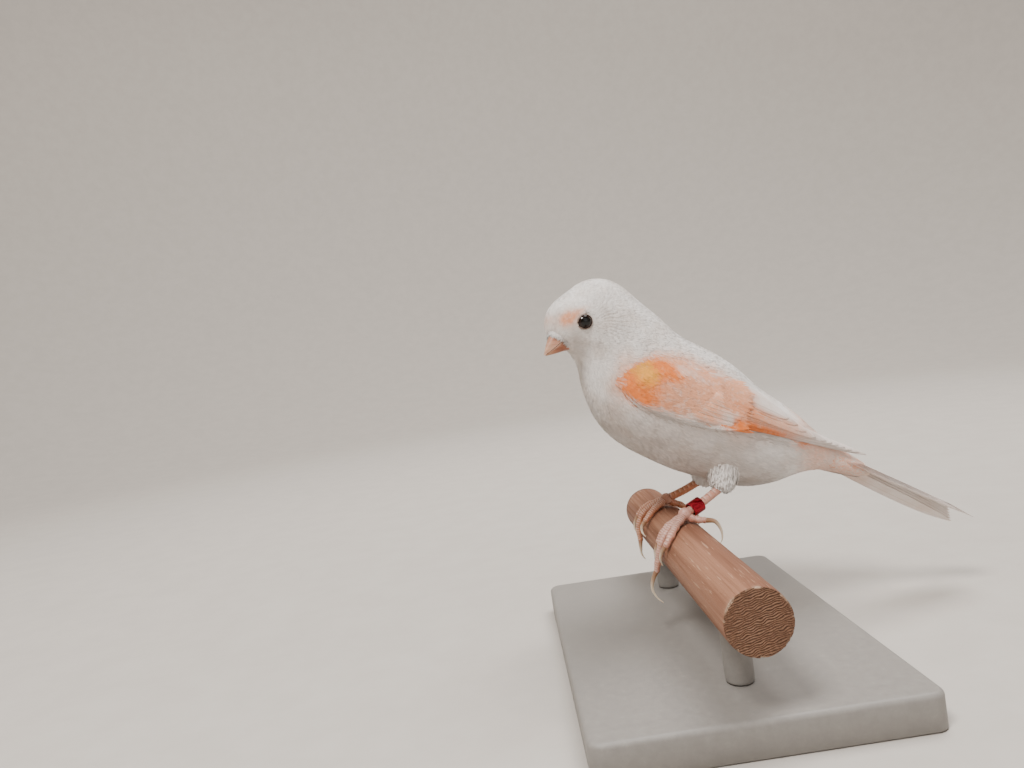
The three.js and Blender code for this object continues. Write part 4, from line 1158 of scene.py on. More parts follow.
def wood_material():
    made, tree, shader, place = start_material("Dowel wood", 0.68, Specular_IOR_Level=0.3)
    grain = stretched(tree, place, (900, 18, 900))
    fine = noise(tree, grain, 1.0, 5.0, 0.6)
    wide = noise(tree, stretched(tree, place, (220, 5, 220)), 1.0, 3.0)
    flecks = span(tree, noise(tree, stretched(tree, place, (1900, 120, 1900)), 1.0, 2.0), 0.62, 0.7)
    body = mix(tree, span(tree, wide, 0.35, 0.68), linear(128, 86, 66), linear(156, 112, 88))
    body = mix(tree, span(tree, fine, 0.45, 0.75, 0.0, 0.6), body, linear(98, 60, 42))
    body = mix(tree, maths(tree, "MULTIPLY", flecks, 0.32), body, linear(212, 178, 148))
    sawn = mask(tree, "sawn")
    pores = noise(tree, place, 2600.0, 5.0, 0.7)
    cut = mix(tree, span(tree, pores, 0.36, 0.68), linear(94, 64, 47), linear(128, 92, 70))
    # Painted shade and highlight on the sawn end: darker in the grooves of the saw marks, lighter on their crests
    cut = mix(tree, span(tree, mask(tree, "mark"), 0.05, 0.5, 0.8, 0.0), cut, linear(58, 38, 28))
    cut = mix(tree, span(tree, mask(tree, "mark"), 0.7, 0.95, 0.0, 0.35), cut, linear(186, 150, 122))
    body = mix(tree, sawn, body, cut)
    body = mix(tree, mask(tree, "chip"), body, linear(222, 194, 166))
    tree.links.new(span(tree, fine, 0.3, 0.7, 0.55, 0.8), shader.inputs["Roughness"])
    height = maths(tree, "SUBTRACT", pores, maths(tree, "MULTIPLY", fine, 1.5))
    finish_material(tree, shader, body, height, 0.00012, 0.6)
    return made


def stand_material():
    made, tree, shader, place = start_material("Painted stand", 0.5, Specular_IOR_Level=0.4)
    wear = use(tree, "Fine wear", {"Position": place, "Scale": 500.0})
    body = mix(tree, wear["Value"], linear(138, 134, 130), linear(146, 142, 137))
    body = mix(tree, maths(tree, "MULTIPLY", wear["Spots"], 0.12), body, linear(176, 172, 166))
    tree.links.new(span(tree, wear["Value"], 0.0, 1.0, 0.44, 0.56), shader.inputs["Roughness"])
    finish_material(tree, shader, body, wear["Height"], 0.00004, 0.4)
    return made


def floor_material():
    made, tree, shader, place = start_material("Studio floor", 0.8, Specular_IOR_Level=0.2)
    wear = use(tree, "Fine wear", {"Position": place, "Scale": 60.0})
    body = mix(tree, wear["Value"], linear(196, 190, 183), linear(201, 195, 188))
    finish_material(tree, shader, body, wear["Height"], 0.0002, 0.1)
    return made


FINISHES = {
    "coat": coat_material,
    "skin": skin_material,
    "vane": vane_material,
    "eye": eye_material,
    "lid": lid_material,
    "bill_upper": lambda: bill_material("Upper bill", linear(172, 108, 84), linear(200, 140, 114)),
    "bill_lower": lambda: bill_material("Lower bill", linear(150, 88, 62), linear(182, 118, 88)),
    # The legs share one look: the near leg is painted lighter, as lit, and the far leg darker, as in shade
    "leg_left": lambda: leg_material("Near leg painted lit", linear(214, 160, 144), linear(190, 126, 108)),
    "leg_right": lambda: leg_material("Far leg painted in shade", linear(196, 136, 110), linear(168, 104, 76)),
    "claw": claw_material,
    "ring": ring_material,
    "wood": wood_material,
    "stand": stand_material,
    "floor": floor_material,
}
MADE = {}


def finish(name):
    if name not in MADE:
        MADE[name] = FINISHES[name]()
    return MADE[name]


# Pieces of the bird


def socket(points):
    """Draws the skin in behind the eyes."""
    out = points.copy()
    for side in (1, -1):
        centre = placed(SKULL, (EYE["forward"], side * EYE["aside"], EYE["up"]))
        rel = out - centre
        far = np.linalg.norm(rel, axis=-1)
        pull = smooth(far, 3.1, 2.3)
        out = out - rel * (0.45 * pull)[..., None]
    return out


def thigh_line(name):
    """The middle of a thigh, in the bird's frame, running on a little way down the tarsus."""
    ankle, top = np.array(LEGS[name]["ankle"], float), np.array(LEGS[name]["top"], float)
    line = evenly([top, (top + ankle) / 2, ankle - (0, 0, 1.4)], 40)
    return placed(np.linalg.inv(BIRD), line)


THIGH_RADIUS = [(0, 5), (0.6, 4.6), (0.85, 3.6), (1, 2.2)]

LEGS = {
    "left": {"ankle": (12.6, -11, 14.2), "hub": (0.8, -15.4, 9.3), "top": (15, -9, 23)},
    "right": {"ankle": (11.2, 4.4, 13.8), "hub": (0.8, 7, 9.2), "top": (14.5, 2.5, 23)},
}
TARSUS_RADIUS, TOE_RADIUS, HUB_RADIUS = 1.15, 0.98, 1.75

# Places on a toe: degrees round the dowel from its top towards the breast, along the dowel, and height over it
TOES = {
    "left": {
        "inner": ([(13, -16, 1.3), (34, -16.8, 1.3), (56, -17.2, 1.2), (68, -17.3, 1.2)],
                  [(82, -17.4, 1.7), (95, -17.6, 1.7), (106, -17.8, 1.2)]),
        "middle": ([(12, -17, 1.5), (29, -18.8, 1.35), (47, -20.2, 1.3), (65, -20.4, 1.3), (84, -20, 1.3),
                    (101, -19.5, 2.1), (113, -19.1, 3.2)],
                   [(119, -19, 5.2), (127, -19.2, 6.8), (136, -19.6, 7.5), (143, -20, 7.6)]),
        "outer": ([(17, -19.4, 1.3), (33, -23, 1.3), (50, -24.8, 1.3), (62, -24.9, 1.3)],
                  [(73, -24.5, 1.8), (85, -24, 1.8), (97, -23.5, 1.4)]),
        "hind": ([(-14, -15.9, 1.5), (-28, -16.3, 1.5), (-39, -16.8, 2.3)],
                 [(-50, -17.4, 3.4), (-64, -18, 3.1), (-77, -18, 2.3), (-84, -18, 1.5)]),
    },
    "right": {
        "inner": ([(16, 5, 1.3), (32, 3.2, 1.3), (48, 2.3, 1.35), (58, 2, 1.6)],
                  [(68, 1.6, 2.0), (77, 0.6, 1.7), (82, -1, 1.1)]),
        "middle": ([(14, 7.6, 1.3), (33, 8.2, 1.3), (54, 8.5, 1.35), (76, 8.5, 1.3), (97, 8.4, 1.25), (107, 8.2, 1.5)],
                   [(116, 8, 2.4), (126, 8, 3.4), (136, 8, 3.9)]),
        "outer": ([(14, 9.4, 1.3), (34, 11.8, 1.3), (54, 12.6, 1.3), (62, 12.6, 1.3)],
                  [(74, 12.5, 1.8), (86, 12.3, 1.8), (97, 12, 1.3)]),
        "hind": ([(-14, 6.8, 1.5), (-32, 6.3, 1.4), (-48, 5.8, 1.5)],
                 [(-60, 5.5, 2.4), (-73, 5.2, 2.5), (-85, 5, 1.7)]),
    },
}


def round_perch(places):
    angle, along, lift = np.array(places, float).T
    radius = PERCH_RADIUS + lift
    return np.column_stack([-radius * np.sin(np.radians(angle)), along, radius * np.cos(np.radians(angle))])


def off_perch(points, gap=0.06):
    """Moves places that would lie in the dowel out to its surface."""
    out = points.copy()
    far = np.hypot(points[..., 0], points[..., 2])
    grow = np.maximum(far, PERCH_RADIUS + gap) / far
    out[..., 0] *= grow
    out[..., 2] *= grow
    return out


def make_skin():
    grid = body_grid(150, 60, 160, lambda points: coat_depth(points) + 0.05)
    grid = socket(grid)
    points, faces = capped(grid)
    marks = body_marks(points)
    parts = [(points, faces, marks)]
    for name in LEGS:
        line = thigh_line(name)
        radius = profile(THIGH_RADIUS, np.linspace(0, 1, len(line))) - 0.9
        top = np.tile([1.0, 0, 0.2], (len(line), 1))
        points, faces = capped(tube_grid(line, radius / BODY["size"], 32, top))
        parts.append((points, faces, {key: np.zeros(len(points)) for key in marks}))
    points, faces, marks = merged(parts)
    marks["vary"] = np.full(len(points), 0.5)
    # Set partway along a lock, so that the painted root shade darkens the skin a little
    marks["along"] = np.full(len(points), 0.4)
    replaced = ("torso", "neck", "head", "thigh_left", "thigh_right")
    new_piece("skin", placed(BIRD, points), faces, finish("skin"), marks, replaces=replaced)


WING_LOW = [(0, 0.6), (3, -1.8), (8, -3.7), (14, -4.2), (22, -3.8), (35, -2.8), (50, -1.5), (70, 0.5)]
WING_HIGH = [(0, 2.6), (3, 6.4), (8, 8.8), (14, 9.4), (22, 9.2), (30, 7.6), (36, 6.4), (45, 5.4), (55, 3.2), (70, 2.2)]


def under_wing(points):
    rel = points - WING_BEND
    back, up = rel @ WING_ALONG, rel @ WING_UP
    inside = (back > -2.2) & (back < 60) & (up > profile(WING_LOW, back) + 1.0) & (up < profile(WING_HIGH, back) - 0.2)
    return inside & (np.abs(points[..., 1]) > 4)


def zones(points, along, around):
    """Which piece of the coat a feather belongs to."""
    sector = np.floor((around + 0.125) % 1 * 4).astype(int)  # right, under, left, over
    length = np.digitize(along, [0.18, 0.42, 0.6])
    zone = 4 + length * 4 + sector
    return np.where(from_bill(points) < 10, sector, zone)


ZONE_NAMES = [
    "coat_" + where + side
    for where in ("face", "rump", "back", "breast", "head")
    for side in ("_right", "_under", "_left", "_over")
]


def make_coat():
    settings = bpy.context.scene.canary
    random = np.random.default_rng(settings.seed)
    grid = body_grid(110, 46, 130, coat_depth)

    def spacing(points):
        pairs = [(0, 0.40), (5, 0.48), (10, 0.62), (18, 0.8), (30, 1.05), (60, 1.22)]
        return profile(pairs, from_bill(points)) * settings.spacing

    roots, along, around = scatter(grid, spacing, random)
    keep = (near_eye(roots) > 2.3) & ~in_bill(roots) & ~under_wing(roots) & (along > 0.015)
    roots, along, around = roots[keep], along[keep], around[keep]
    coat = Coat()
    head = from_bill(roots) < 22
    for chosen, locks, steps in ((head, 8, SHORT_STEPS), (~head, 10, LOCK_STEPS)):
        lines, over, width, index = body_feathers(roots[chosen], along[chosen], random, locks, steps)
        base = roots[chosen][index]
        rel = base - WING_BEND
        over_edge = (rel @ WING_UP > profile(WING_HIGH, rel @ WING_ALONG) - 3) | (rel @ WING_ALONG < 4)
        height = np.where(over_edge[:, None], 0.22 - 0.1 * steps[None, :], -30.0)
        lines = lifted_over_wing(lines, height)
        stray = random.normal(0, 0.4, (len(index), 3)) * smooth(from_bill(base), 12, 24)[:, None]
        masks = body_marks(lines[:, -2] * 0.6 + lines[:, -1] * 0.4 + stray)
        masks["vary"] = np.clip(
            0.5 + 0.16 * random.normal(size=len(index)) + 0.12 * random.normal(size=chosen.sum())[index], 0, 1
        )
        uv = np.column_stack([around[chosen][index], along[chosen][index]]) * 0.96 + 0.02
        zone = zones(roots[chosen], along[chosen], around[chosen])[index]
        thickness = profile([(0, 0.03), (10, 0.04), (30, 0.06), (80, 0.07)], from_bill(base))
        coat.add(lines, over, width, thickness, uv, masks, zone)
    coat.add(*bristles(random))
    coat.make(ZONE_NAMES, finish("coat"))


def bill_place(t, angle, swell=0.0):
    """A place on the bill, in the bird's frame: t runs to the tip, and the angle round it from its left side."""
    mouth = BILL["axis"] - BILL["droop"] * t
    tall = np.where(np.sin(angle) > 0, BILL["rise"] * (1 - t**2.2), BILL["fall"] * (1 - t))
    across = (BILL["width"] * (1 - t**1.7) + swell) * np.cos(angle)
    place = [BILL["root"] + BILL["length"] * t, across, mouth + (tall + swell) * np.sin(angle)]
    return placed(SKULL, np.stack(np.broadcast_arrays(*place), -1))


def bristles(random, count=420, locks=5):
    """The short stiff tufts round the root of the bill, which lie forward over it."""
    angle = random.uniform(-0.18 * np.pi, 1.18 * np.pi, count)
    tries = np.linspace(0.02, 0.7, 60)
    outside = body_distance(bill_place(tries[None, :], angle[:, None])) > 0.05
    base = tries[np.argmax(outside, axis=1)]
    over_bill = smooth(np.sin(angle), -0.1, 0.8)
    length = (0.75 + 0.25 * over_bill) * random.uniform(0.7, 1.2, count)
    index = np.repeat(np.arange(count), locks)
    spread = np.tile(np.linspace(-1, 1, locks), count) + random.normal(0, 0.25, len(index))
    start = base - random.uniform(0.02, 0.13, count)
    run = length[index] * random.uniform(0.7, 1.1, len(index)) / BILL["length"]
    at = start[index][:, None] + run[:, None] * SHORT_STEPS
    turn = angle[index][:, None] + (0.10 * spread[:, None] + random.normal(0, 0.10, len(index))[:, None]) * SHORT_STEPS
    lift = random.uniform(0.15, 0.5, len(index))[:, None] * np.array([0.0, 1.0, 0.7])
    lines = bill_place(np.clip(at, 0, 0.9), turn, 0.05 + lift)
    over = unit(bill_place(np.clip(at, 0, 0.9), turn, 1.0) - bill_place(np.clip(at, 0, 0.9), turn, 0.0))
    gape = np.exp(-((np.sin(angle) / 0.3) ** 2))[index]
    masks = {"peach": 0 * gape, "orange": 0 * gape, "yolk": 0 * gape}
    # Greyer at the sides, by the corner of the mouth, for painted shade in the gape, with some random grey besides
    masks["dusk"] = np.clip(0.45 * gape + 0.3 * random.random(len(index)) ** 2, 0, 1)
    masks["vary"] = np.clip(0.6 + 0.25 * random.normal(size=len(index)), 0, 1)
    uv = np.column_stack([angle[index] / 6.2832 * 0.96 + 0.02, 0.9 + 0.4 * (base - start)[index]])
    return lines, over, np.full(len(index), 0.17), np.full(len(index), 0.05), uv, masks, np.zeros(len(index), int)


def make_thighs():
    settings = bpy.context.scene.canary
    for name in LEGS:
        random = np.random.default_rng(settings.seed + (5 if name == "left" else 6))
        line = thigh_line(name)
        count, locks = 500, 7
        share = random.uniform(0.05, 0.97, count)
        angle = random.uniform(0, 2 * np.pi, count)
        length = random.uniform(2.6, 4.8, count)
        index = np.repeat(np.arange(count), locks)
        spread = np.tile(np.linspace(-1, 1, locks), count) + random.normal(0, 0.2, len(index))
        reach = length[index] * random.uniform(0.75, 1.1, len(index)) * (1 - 0.2 * spread**2)
        total = np.linalg.norm(line[-1] - line[0])
        at = share[index][:, None] + reach[:, None] * LOCK_STEPS / total
        room = random.uniform(0.12, 0.32, len(index))[:, None]
        at = np.where(at > 0.8, 0.8 + room * (1 - np.exp(-(at - 0.8) / room)), at)
        astray = random.normal(0, 0.12, len(index))[:, None]
        turn = angle[index][:, None] + spread[:, None] * 0.28 * (0.3 + 0.7 * LOCK_STEPS) + astray * LOCK_STEPS
        radius = profile([(0, 5), (0.55, 4.7), (0.8, 3.9), (0.95, 2.7), (1.06, 1.5)], at) / BODY["size"] - 0.75
        loose = random.uniform(0.4, 0.8, len(index)) + 0.5 * (random.random(len(index)) < 0.1)
        radius = radius * 0.93 + np.array([-0.25, 0.3, 0.7, 1.0]) * loose[:, None]
        stretch = np.vstack([line, line[-1] + (line[-1] - line[-8]) * 2.2])
        places = np.append(np.linspace(0, 1, len(line)), 1.4)
        middle = np.stack([np.interp(at, places, stretch[:, axis]) for axis in range(3)], -1)
        along = unit(line[-1] - line[0])
        front = unit(np.array([1.0, 0, 0]) - along * along[0])
        aside = np.cross(along, front)
        over = np.cos(turn)[..., None] * front + np.sin(turn)[..., None] * aside
        lines = middle + over * radius[..., None]
        masks = {key: np.zeros(len(index)) for key in ("peach", "orange", "yolk", "dusk")}
        masks["vary"] = np.clip(0.85 + 0.06 * random.normal(size=len(index)), 0, 1)
        uv = np.column_stack([0.05 + 0.9 * angle[index] / 6.2832, 0.05 + 0.9 * share[index]])
        coat = Coat()
        width = 0.5 * length[index] / locks * 2.3
        coat.add(lines, over, width, np.full(len(index), 0.05), uv, masks, np.zeros(len(index), int))
        coat.make(["coat_thigh_" + name], finish("coat"))


def make_eyes():
    for side, name in ((1, "left"), (-1, "right")):
        centre = placed(BIRD @ SKULL, (EYE["forward"], side * EYE["aside"], EYE["up"]))
        ahead = placed(BIRD @ SKULL, (EYE["forward"] + 1.1, side * EYE["aside"] * 1.55, EYE["up"] + 0.2))
        out = unit(ahead - centre)
        front = unit(np.cross(np.cross(out, BIRD[:3, :3] @ SKULL[:3, 0]), out))
        up = unit(BIRD[:3, :3] @ SKULL[:3, 2] - out * np.dot(BIRD[:3, :3] @ SKULL[:3, 2], out))
        front = unit(front - up * np.dot(front, up))
        polar = np.linspace(0.03, np.pi - 0.03, 40)
        angle = np.arange(64) / 64 * 2 * np.pi
        radius = EYE["radius"] - 0.02
        flat = np.cos(angle)[:, None] * front + np.sin(angle)[:, None] * up
        bulge = 1 - 0.03 * smooth(polar, 0.4, 1.0)
        grid = centre + radius * (
            (np.cos(polar) * bulge)[:, None, None] * out + (np.sin(polar) * bulge)[:, None, None] * flat[None]
        )
        points, faces = capped(grid)
        pupil = np.append(np.repeat(np.sin(polar) * (polar < np.pi / 2) + (polar >= np.pi / 2), 64), [0, 1])
        marks = {"pupil": 1 - pupil * 0.92}
        new_piece("eye_ball_" + name, points, faces, finish("eye"), marks, replaces=("eye_" + name,))
        # the lid: a thin wrinkled rim with a pointed front corner
        angle = np.arange(96) / 96 * 2 * np.pi
        turn = (angle + np.pi) % (2 * np.pi) - np.pi
        opening = 1.88 - 0.12 * np.abs(np.sin(angle)) + 0.30 * np.exp(-((turn / 0.28) ** 2))
        opening = opening + 0.16 * np.exp(-(((np.abs(turn) - np.pi) / 0.32) ** 2))
        beads = 1 + 0.05 * np.sin(angle * 31)
        rings = []
        for around, thick in zip(np.linspace(0, 2 * np.pi, 14, endpoint=False), [1.0] * 14):
            wide = opening + 0.15 - 0.15 * np.cos(around) * beads * thick
            sphere = np.sqrt(np.maximum(2.46**2 - wide**2, 0.01))
            tall = sphere + 0.12 * np.sin(around) * beads - 0.03
            rings.append(
                centre
                + wide[:, None] * (np.cos(angle)[:, None] * front + np.sin(angle)[:, None] * up)
                + tall[:, None] * out
            )
        grid = np.stack(rings, axis=1)
        faces = sheet_faces(96, 14)
        closing = np.stack([np.arange(14) + 95 * 14, (np.arange(14) + 1) % 14 + 95 * 14, (np.arange(14) + 1) % 14,
                            np.arange(14)], -1)
        quads = np.vstack([faces, closing])
        flat = grid.reshape(-1, 3)
        first = quads[0]
        facing = np.dot(np.cross(flat[first[1]] - flat[first[0]], flat[first[3]] - flat[first[0]]),
                        flat[first[0]] - grid[0].mean(0))
        quads = quads if facing > 0 else quads[:, ::-1]
        new_piece("eyelid_" + name, flat, [quads], finish("lid"))


def make_bill():
    for up, name in ((1, "upper"), (-1, "lower")):
        steps, sides = 60, 48
        t = np.linspace(0.0, 0.985 if up > 0 else 0.92, steps)
        taper = 1 - t**1.7
        mouth = BILL["axis"] - BILL["droop"] * t + up * 0.08 + 0.16 * np.sin(t * 5.2) * (1 - t)
        tall = BILL["rise"] * (1 - t**2.2) if up > 0 else BILL["fall"] * (1 - t)
        angle = np.linspace(0, np.pi, sides - 14)
        across = np.concatenate([np.cos(angle), np.linspace(-1, 1, 16)[1:-1]])
        rise = np.concatenate([np.sin(angle) ** 1.06, np.zeros(14)])
        width = BILL["width"] * taper * 0.99
        rim = 0.16 * np.exp(-((rise / 0.10) ** 2))
        side_ways = across[None, :] * (width[:, None] - 0.10 * (1 - rim / 0.16)[None, :] * (rise > 0.02)[None, :])
        height = mouth[:, None] + up * rise[None, :] * tall[:, None] * 0.99
        forward = np.repeat((BILL["root"] + BILL["length"] * t)[:, None], len(across), 1)
        if up > 0:
            hole = np.hypot((forward - BILL["root"] - 2.5) / 0.62, (height - BILL["axis"] - 2.2) / 0.34)
            side_ways = side_ways * (1 - 0.20 * smooth(hole, 1.3, 0.4) * (rise > 0.05)[None, :])
        hollow = np.where(rise[None, :] > 0, 0, 0.12 * up * (1 - across**2)[None, :] * (1 - t)[:, None])
        local = np.stack([forward, side_ways, height + hollow], -1)
        points, faces = capped(placed(BIRD @ SKULL, local))
        along = np.append(np.repeat(t, len(across)), [0, 1])
        edge = np.append(np.tile(np.exp(-((rise / 0.12) ** 2)), steps), [0, 0])
        # Painted shade in the corner of the mouth and, on the upper half, in the nostril
        gape = np.exp(-(((local[..., 0] - BILL["root"]) / 1.5) ** 2 + ((local[..., 2] - BILL["axis"]) / 0.7) ** 2))
        painted_shade = np.append(gape.ravel() * 0.9, [0, 0])
        if up > 0:
            painted_shade = np.maximum(painted_shade, np.append(smooth(hole, 1.15, 0.6).ravel(), [0, 0]))
        marks = {"along": along, "edge": edge * (1 - painted_shade), "painted_shade": painted_shade}
        new_piece("bill_" + name + "_horn", points, faces, finish("bill_" + name), marks,
                  replaces=("bill_" + name,))


def scaled_tube(line, radius, top, plates, sides=28, depth=0.06, pads=0.0, joints=4):
    """A toe or tarsus: overlapping plates on its upper side and small pads underneath."""
    share = np.linspace(0, 1, len(line))

    def shape(at, angle):
        upper = smooth(np.cos(angle), -0.1, 0.5)
        step = (at * plates) % 1
        plate = depth * (step - 0.5) * upper
        bulge = pads * np.maximum(np.cos(at * joints * 2 * np.pi), 0) * smooth(np.cos(angle), 0.0, -0.8)
        grain = 0.025 * np.sin(at * plates * 9 + 6 * angle) * (1 - upper)
        return 1 + plate + bulge + grain

    grid = tube_grid(line, radius, sides, top, shape)
    angle = np.arange(sides) / sides * 2 * np.pi
    upper = smooth(np.cos(angle), -0.1, 0.5)[None, :]
    step = ((share * plates) % 1)[:, None]
    seam = np.exp(-((np.minimum(step, 1 - step) / 0.10) ** 2)) * upper
    scale = smooth(step, 0.3, 0.95) * upper
    return grid, seam, scale


def toe_line(name, which, count):
    return evenly(np.vstack([LEGS[name]["hub"], round_perch(TOES[name][which][0])]), count)


def from_axis(line):
    return unit(line * np.array([1, 0, 1]) + 1e-6)


def make_feet():
    for name in LEGS:
        parts = []
        hub = np.array(LEGS[name]["hub"])
        for which, (joints, _) in TOES[name].items():
            line = toe_line(name, which, 120)
            share = np.linspace(0, 1, 120)
            swell = 0.07 * np.cos(share * len(joints) * 2 * np.pi)
            radius = TOE_RADIUS * (1.10 - 0.27 * share + swell)
            radius = radius * np.sqrt(np.clip(1 - np.clip((share - 0.94) / 0.065, 0, 1) ** 2, 0.12, 1))
            plates = 4 * len(joints) + 2
            grid, seam, scale = scaled_tube(line, radius, from_axis(line), plates, 26, 0.09, 0.07, len(joints))
            points, faces = capped(off_perch(grid))
            parts.append((points, faces, {"seam": np.append(seam, [0, 0]), "scale": np.append(scale, [0, 0])}))
        polar = np.linspace(0.05, np.pi - 0.05, 24)
        angle = np.arange(32) / 32 * 2 * np.pi
        ball = np.stack([np.outer(np.sin(polar), np.cos(angle)), np.outer(np.sin(polar), np.sin(angle)),
                         np.outer(np.cos(polar), np.ones(32))], -1)
        points, faces = capped(off_perch(hub + ball * HUB_RADIUS * 0.99))
        parts.append((points, faces, {"seam": np.zeros(len(points)), "scale": np.full(len(points), 0.2)}))
        ankle = np.array(LEGS[name]["ankle"], float)
        line = evenly([ankle + (ankle - hub) * 0.12, ankle, (ankle + hub) / 2 - (0, 0, 0.25), hub], 150)
        share = np.linspace(0, 1, 150)
        radius = TARSUS_RADIUS * (1 + 0.35 * np.maximum(0, 0.3 - share) + 0.25 * np.maximum(0, share - 0.8))
        front = np.tile([-0.4, 0, 1.0], (150, 1))
        grid, seam, scale = scaled_tube(line, radius * 0.98, front, 9, 32, 0.07)
        points, faces = capped(off_perch(grid))
        parts.append((points, faces, {"seam": np.append(seam, [0, 0]), "scale": np.append(scale, [0, 0]) * 0.7}))
        points, faces, marks = merged(parts)
        replaced = ("foot_" + name, "tarsus_" + name)
        new_piece("leg_and_toes_" + name, points, faces, finish("leg_" + name), marks, replaces=replaced)


def make_claws():
    for name in LEGS:
        for which, (_, places) in TOES[name].items():
            root = toe_line(name, which, 40)[-3]
            line = evenly(np.vstack([root, round_perch(places)]), 60)
            share = np.linspace(0, 1, 60)
            radius = 0.76 - (0.76 - 0.10) * share**0.9
            radius = radius * np.clip(share * 14 + 0.5, 0, 1)
            grid = tube_grid(line, radius, 20, from_axis(line), lambda at, angle: 1 - 0.16 * np.abs(np.sin(angle)))
            points, faces = capped(off_perch(grid))
            marks = {"along": np.append(np.repeat(share, 20), [0, 1])}
            piece = "claw_" + name + "_" + which
            new_piece(piece + "_horn", points, faces, finish("claw"), marks, replaces=(piece,))


def make_ring():
    hub, ankle = (np.array(LEGS["left"][key], float) for key in ("hub", "ankle"))
    line = evenly([ankle, (ankle + hub) / 2 - (0, 0, 0.25), hub], 101)
    centre, along = line[72], unit(line[73] - line[71])
    side = unit(np.cross(along, (0, 0, 1.0)))
    other = np.cross(side, along)
    inner, outer, half = 1.56, 1.99, 1.79
    edge = 0.14
    outline = []
    for r, h, start in ((outer - edge, half - edge, 0), (inner + edge, half - edge, 90),
                        (inner + edge, -half + edge, 180), (outer - edge, -half + edge, 270)):
        for step in range(7):
            turn = math.radians(start + step * 15)
            outline.append((r + edge * math.cos(turn), h + edge * math.sin(turn)))
    outline = np.array(outline)
    angle = np.arange(96) / 96 * 2 * np.pi
    flat = np.cos(angle)[:, None] * side + np.sin(angle)[:, None] * other
    grid = centre + outline[None, :, :1] * flat[:, None, :] + outline[None, :, 1:] * along
    count = len(outline)
    quads = sheet_faces(96, count)
    j = np.arange(count)
    closing = np.stack([95 * count + j, 95 * count + (j + 1) % count, (j + 1) % count, j], -1)
    quads = np.vstack([quads, closing])
    points = grid.reshape(-1, 3)
    first = quads[0]
    facing = np.dot(np.cross(points[first[1]] - points[first[0]], points[first[3]] - points[first[0]]), flat[0])
    quads = quads if facing > 0 else quads[:, ::-1]
    new_piece("ring_metal", points, [quads], finish("ring"), {}, replaces=("leg_ring",))


def make_perch():
    """The dowel, with a rough sawn front end and a chipped rim."""
    random = np.random.default_rng(9)
    front = (PERCH_LOW.y / MM) - ORIGIN[1] / MM
    back = PERCH_BEHIND
    sides, rings = 240, 64
    angle = np.arange(sides) / sides * 2 * np.pi
    cells = np.repeat(random.random(sides // 4), 4)
    cells = np.convolve(np.tile(cells, 3), np.ones(3) / 3, "same")[sides : 2 * sides]
    chip = np.clip((cells - 0.55) * 2.4, 0, 1) ** 1.5
    share = np.linspace(0.02, 1, rings)
    along = np.concatenate([np.full(rings, 0.0), np.cumsum(np.linspace(0.05, 3.4, 64))])
    along[rings:] *= (back - front) / along[-1]
    grid, sawn, mark, chipped = [], [], [], []
    for row, step in enumerate(along):
        r = PERCH_RADIUS * (share[row] if row < rings else 1.0)
        x, z = r * np.cos(angle), r * np.sin(angle)
        if row < rings:
            wander = ripple(np.stack([x, z * 1.6, x * 0], -1), 0.6, 12)
            ridges = 0.5 + 0.5 * np.sin(13.5 * (z - 0.26 * x) + 5.0 * wander + 0.8 * np.sin(x * 2.3 + z))
            rough = ripple(np.stack([x * 3, z * 3, x * 0], -1), 1.0, 3)
            depth = 0.03 + 0.14 * (1 - ridges) + 0.12 * (1 - rough) + 0.35 * chip * smooth(share[row], 0.88, 1.0)
            mark.append(ridges)
            sawn.append(np.ones(sides))
            chipped.append(0.6 * chip * smooth(share[row], 0.92, 0.99))
        else:
            depth = step + 0.22 * (1 - smooth(step, 0, 1.2)) + 0 * angle
            near = np.exp(-step / 0.45)
            grain = 0.5 + 0.5 * np.sin(angle * 37 + 1.7 * np.sin(step * 0.05) + 2 * np.sin(angle * 5))
            shrink = 0.012 * grain + 0.03 * ripple(np.stack([x, x * 0 + step * 0.1, z], -1), 2.0, 5)
            shrink = shrink + (0.12 + 0.45 * chip) * near
            x, z = x * (1 - shrink / PERCH_RADIUS), z * (1 - shrink / PERCH_RADIUS)
            mark.append(0 * angle)
            sawn.append(0 * angle + max(0, 0.3 - step))
            chipped.append(chip * near * 0.8)
        if row == rings - 1:
            x, z = x * (1 - (0.12 + 0.45 * chip) / PERCH_RADIUS), z * (1 - (0.12 + 0.45 * chip) / PERCH_RADIUS)
        grid.append(np.stack([x, np.minimum(front + depth, back), z], -1))
    points, faces = capped(np.array(grid))
    ends = lambda rows: np.append(np.array(rows).ravel(), [rows[0][0], 0])
    marks = {"sawn": ends(sawn), "mark": ends(mark), "chip": ends(chipped)}
    new_piece("dowel", points, faces, finish("wood"), marks, replaces=("perch",))


def rounded_outline(width, depth, corner, steps=14):
    outline = []
    for x, y, start in ((1, 1, 0), (-1, 1, 90), (-1, -1, 180), (1, -1, 270)):
        for step in range(steps + 1):
            turn = math.radians(start + 90 * step / steps)
            outline.append((x * (width / 2 - corner) + corner * math.cos(turn),
                            y * (depth / 2 - corner) + corner * math.sin(turn)))
    return np.array(outline)


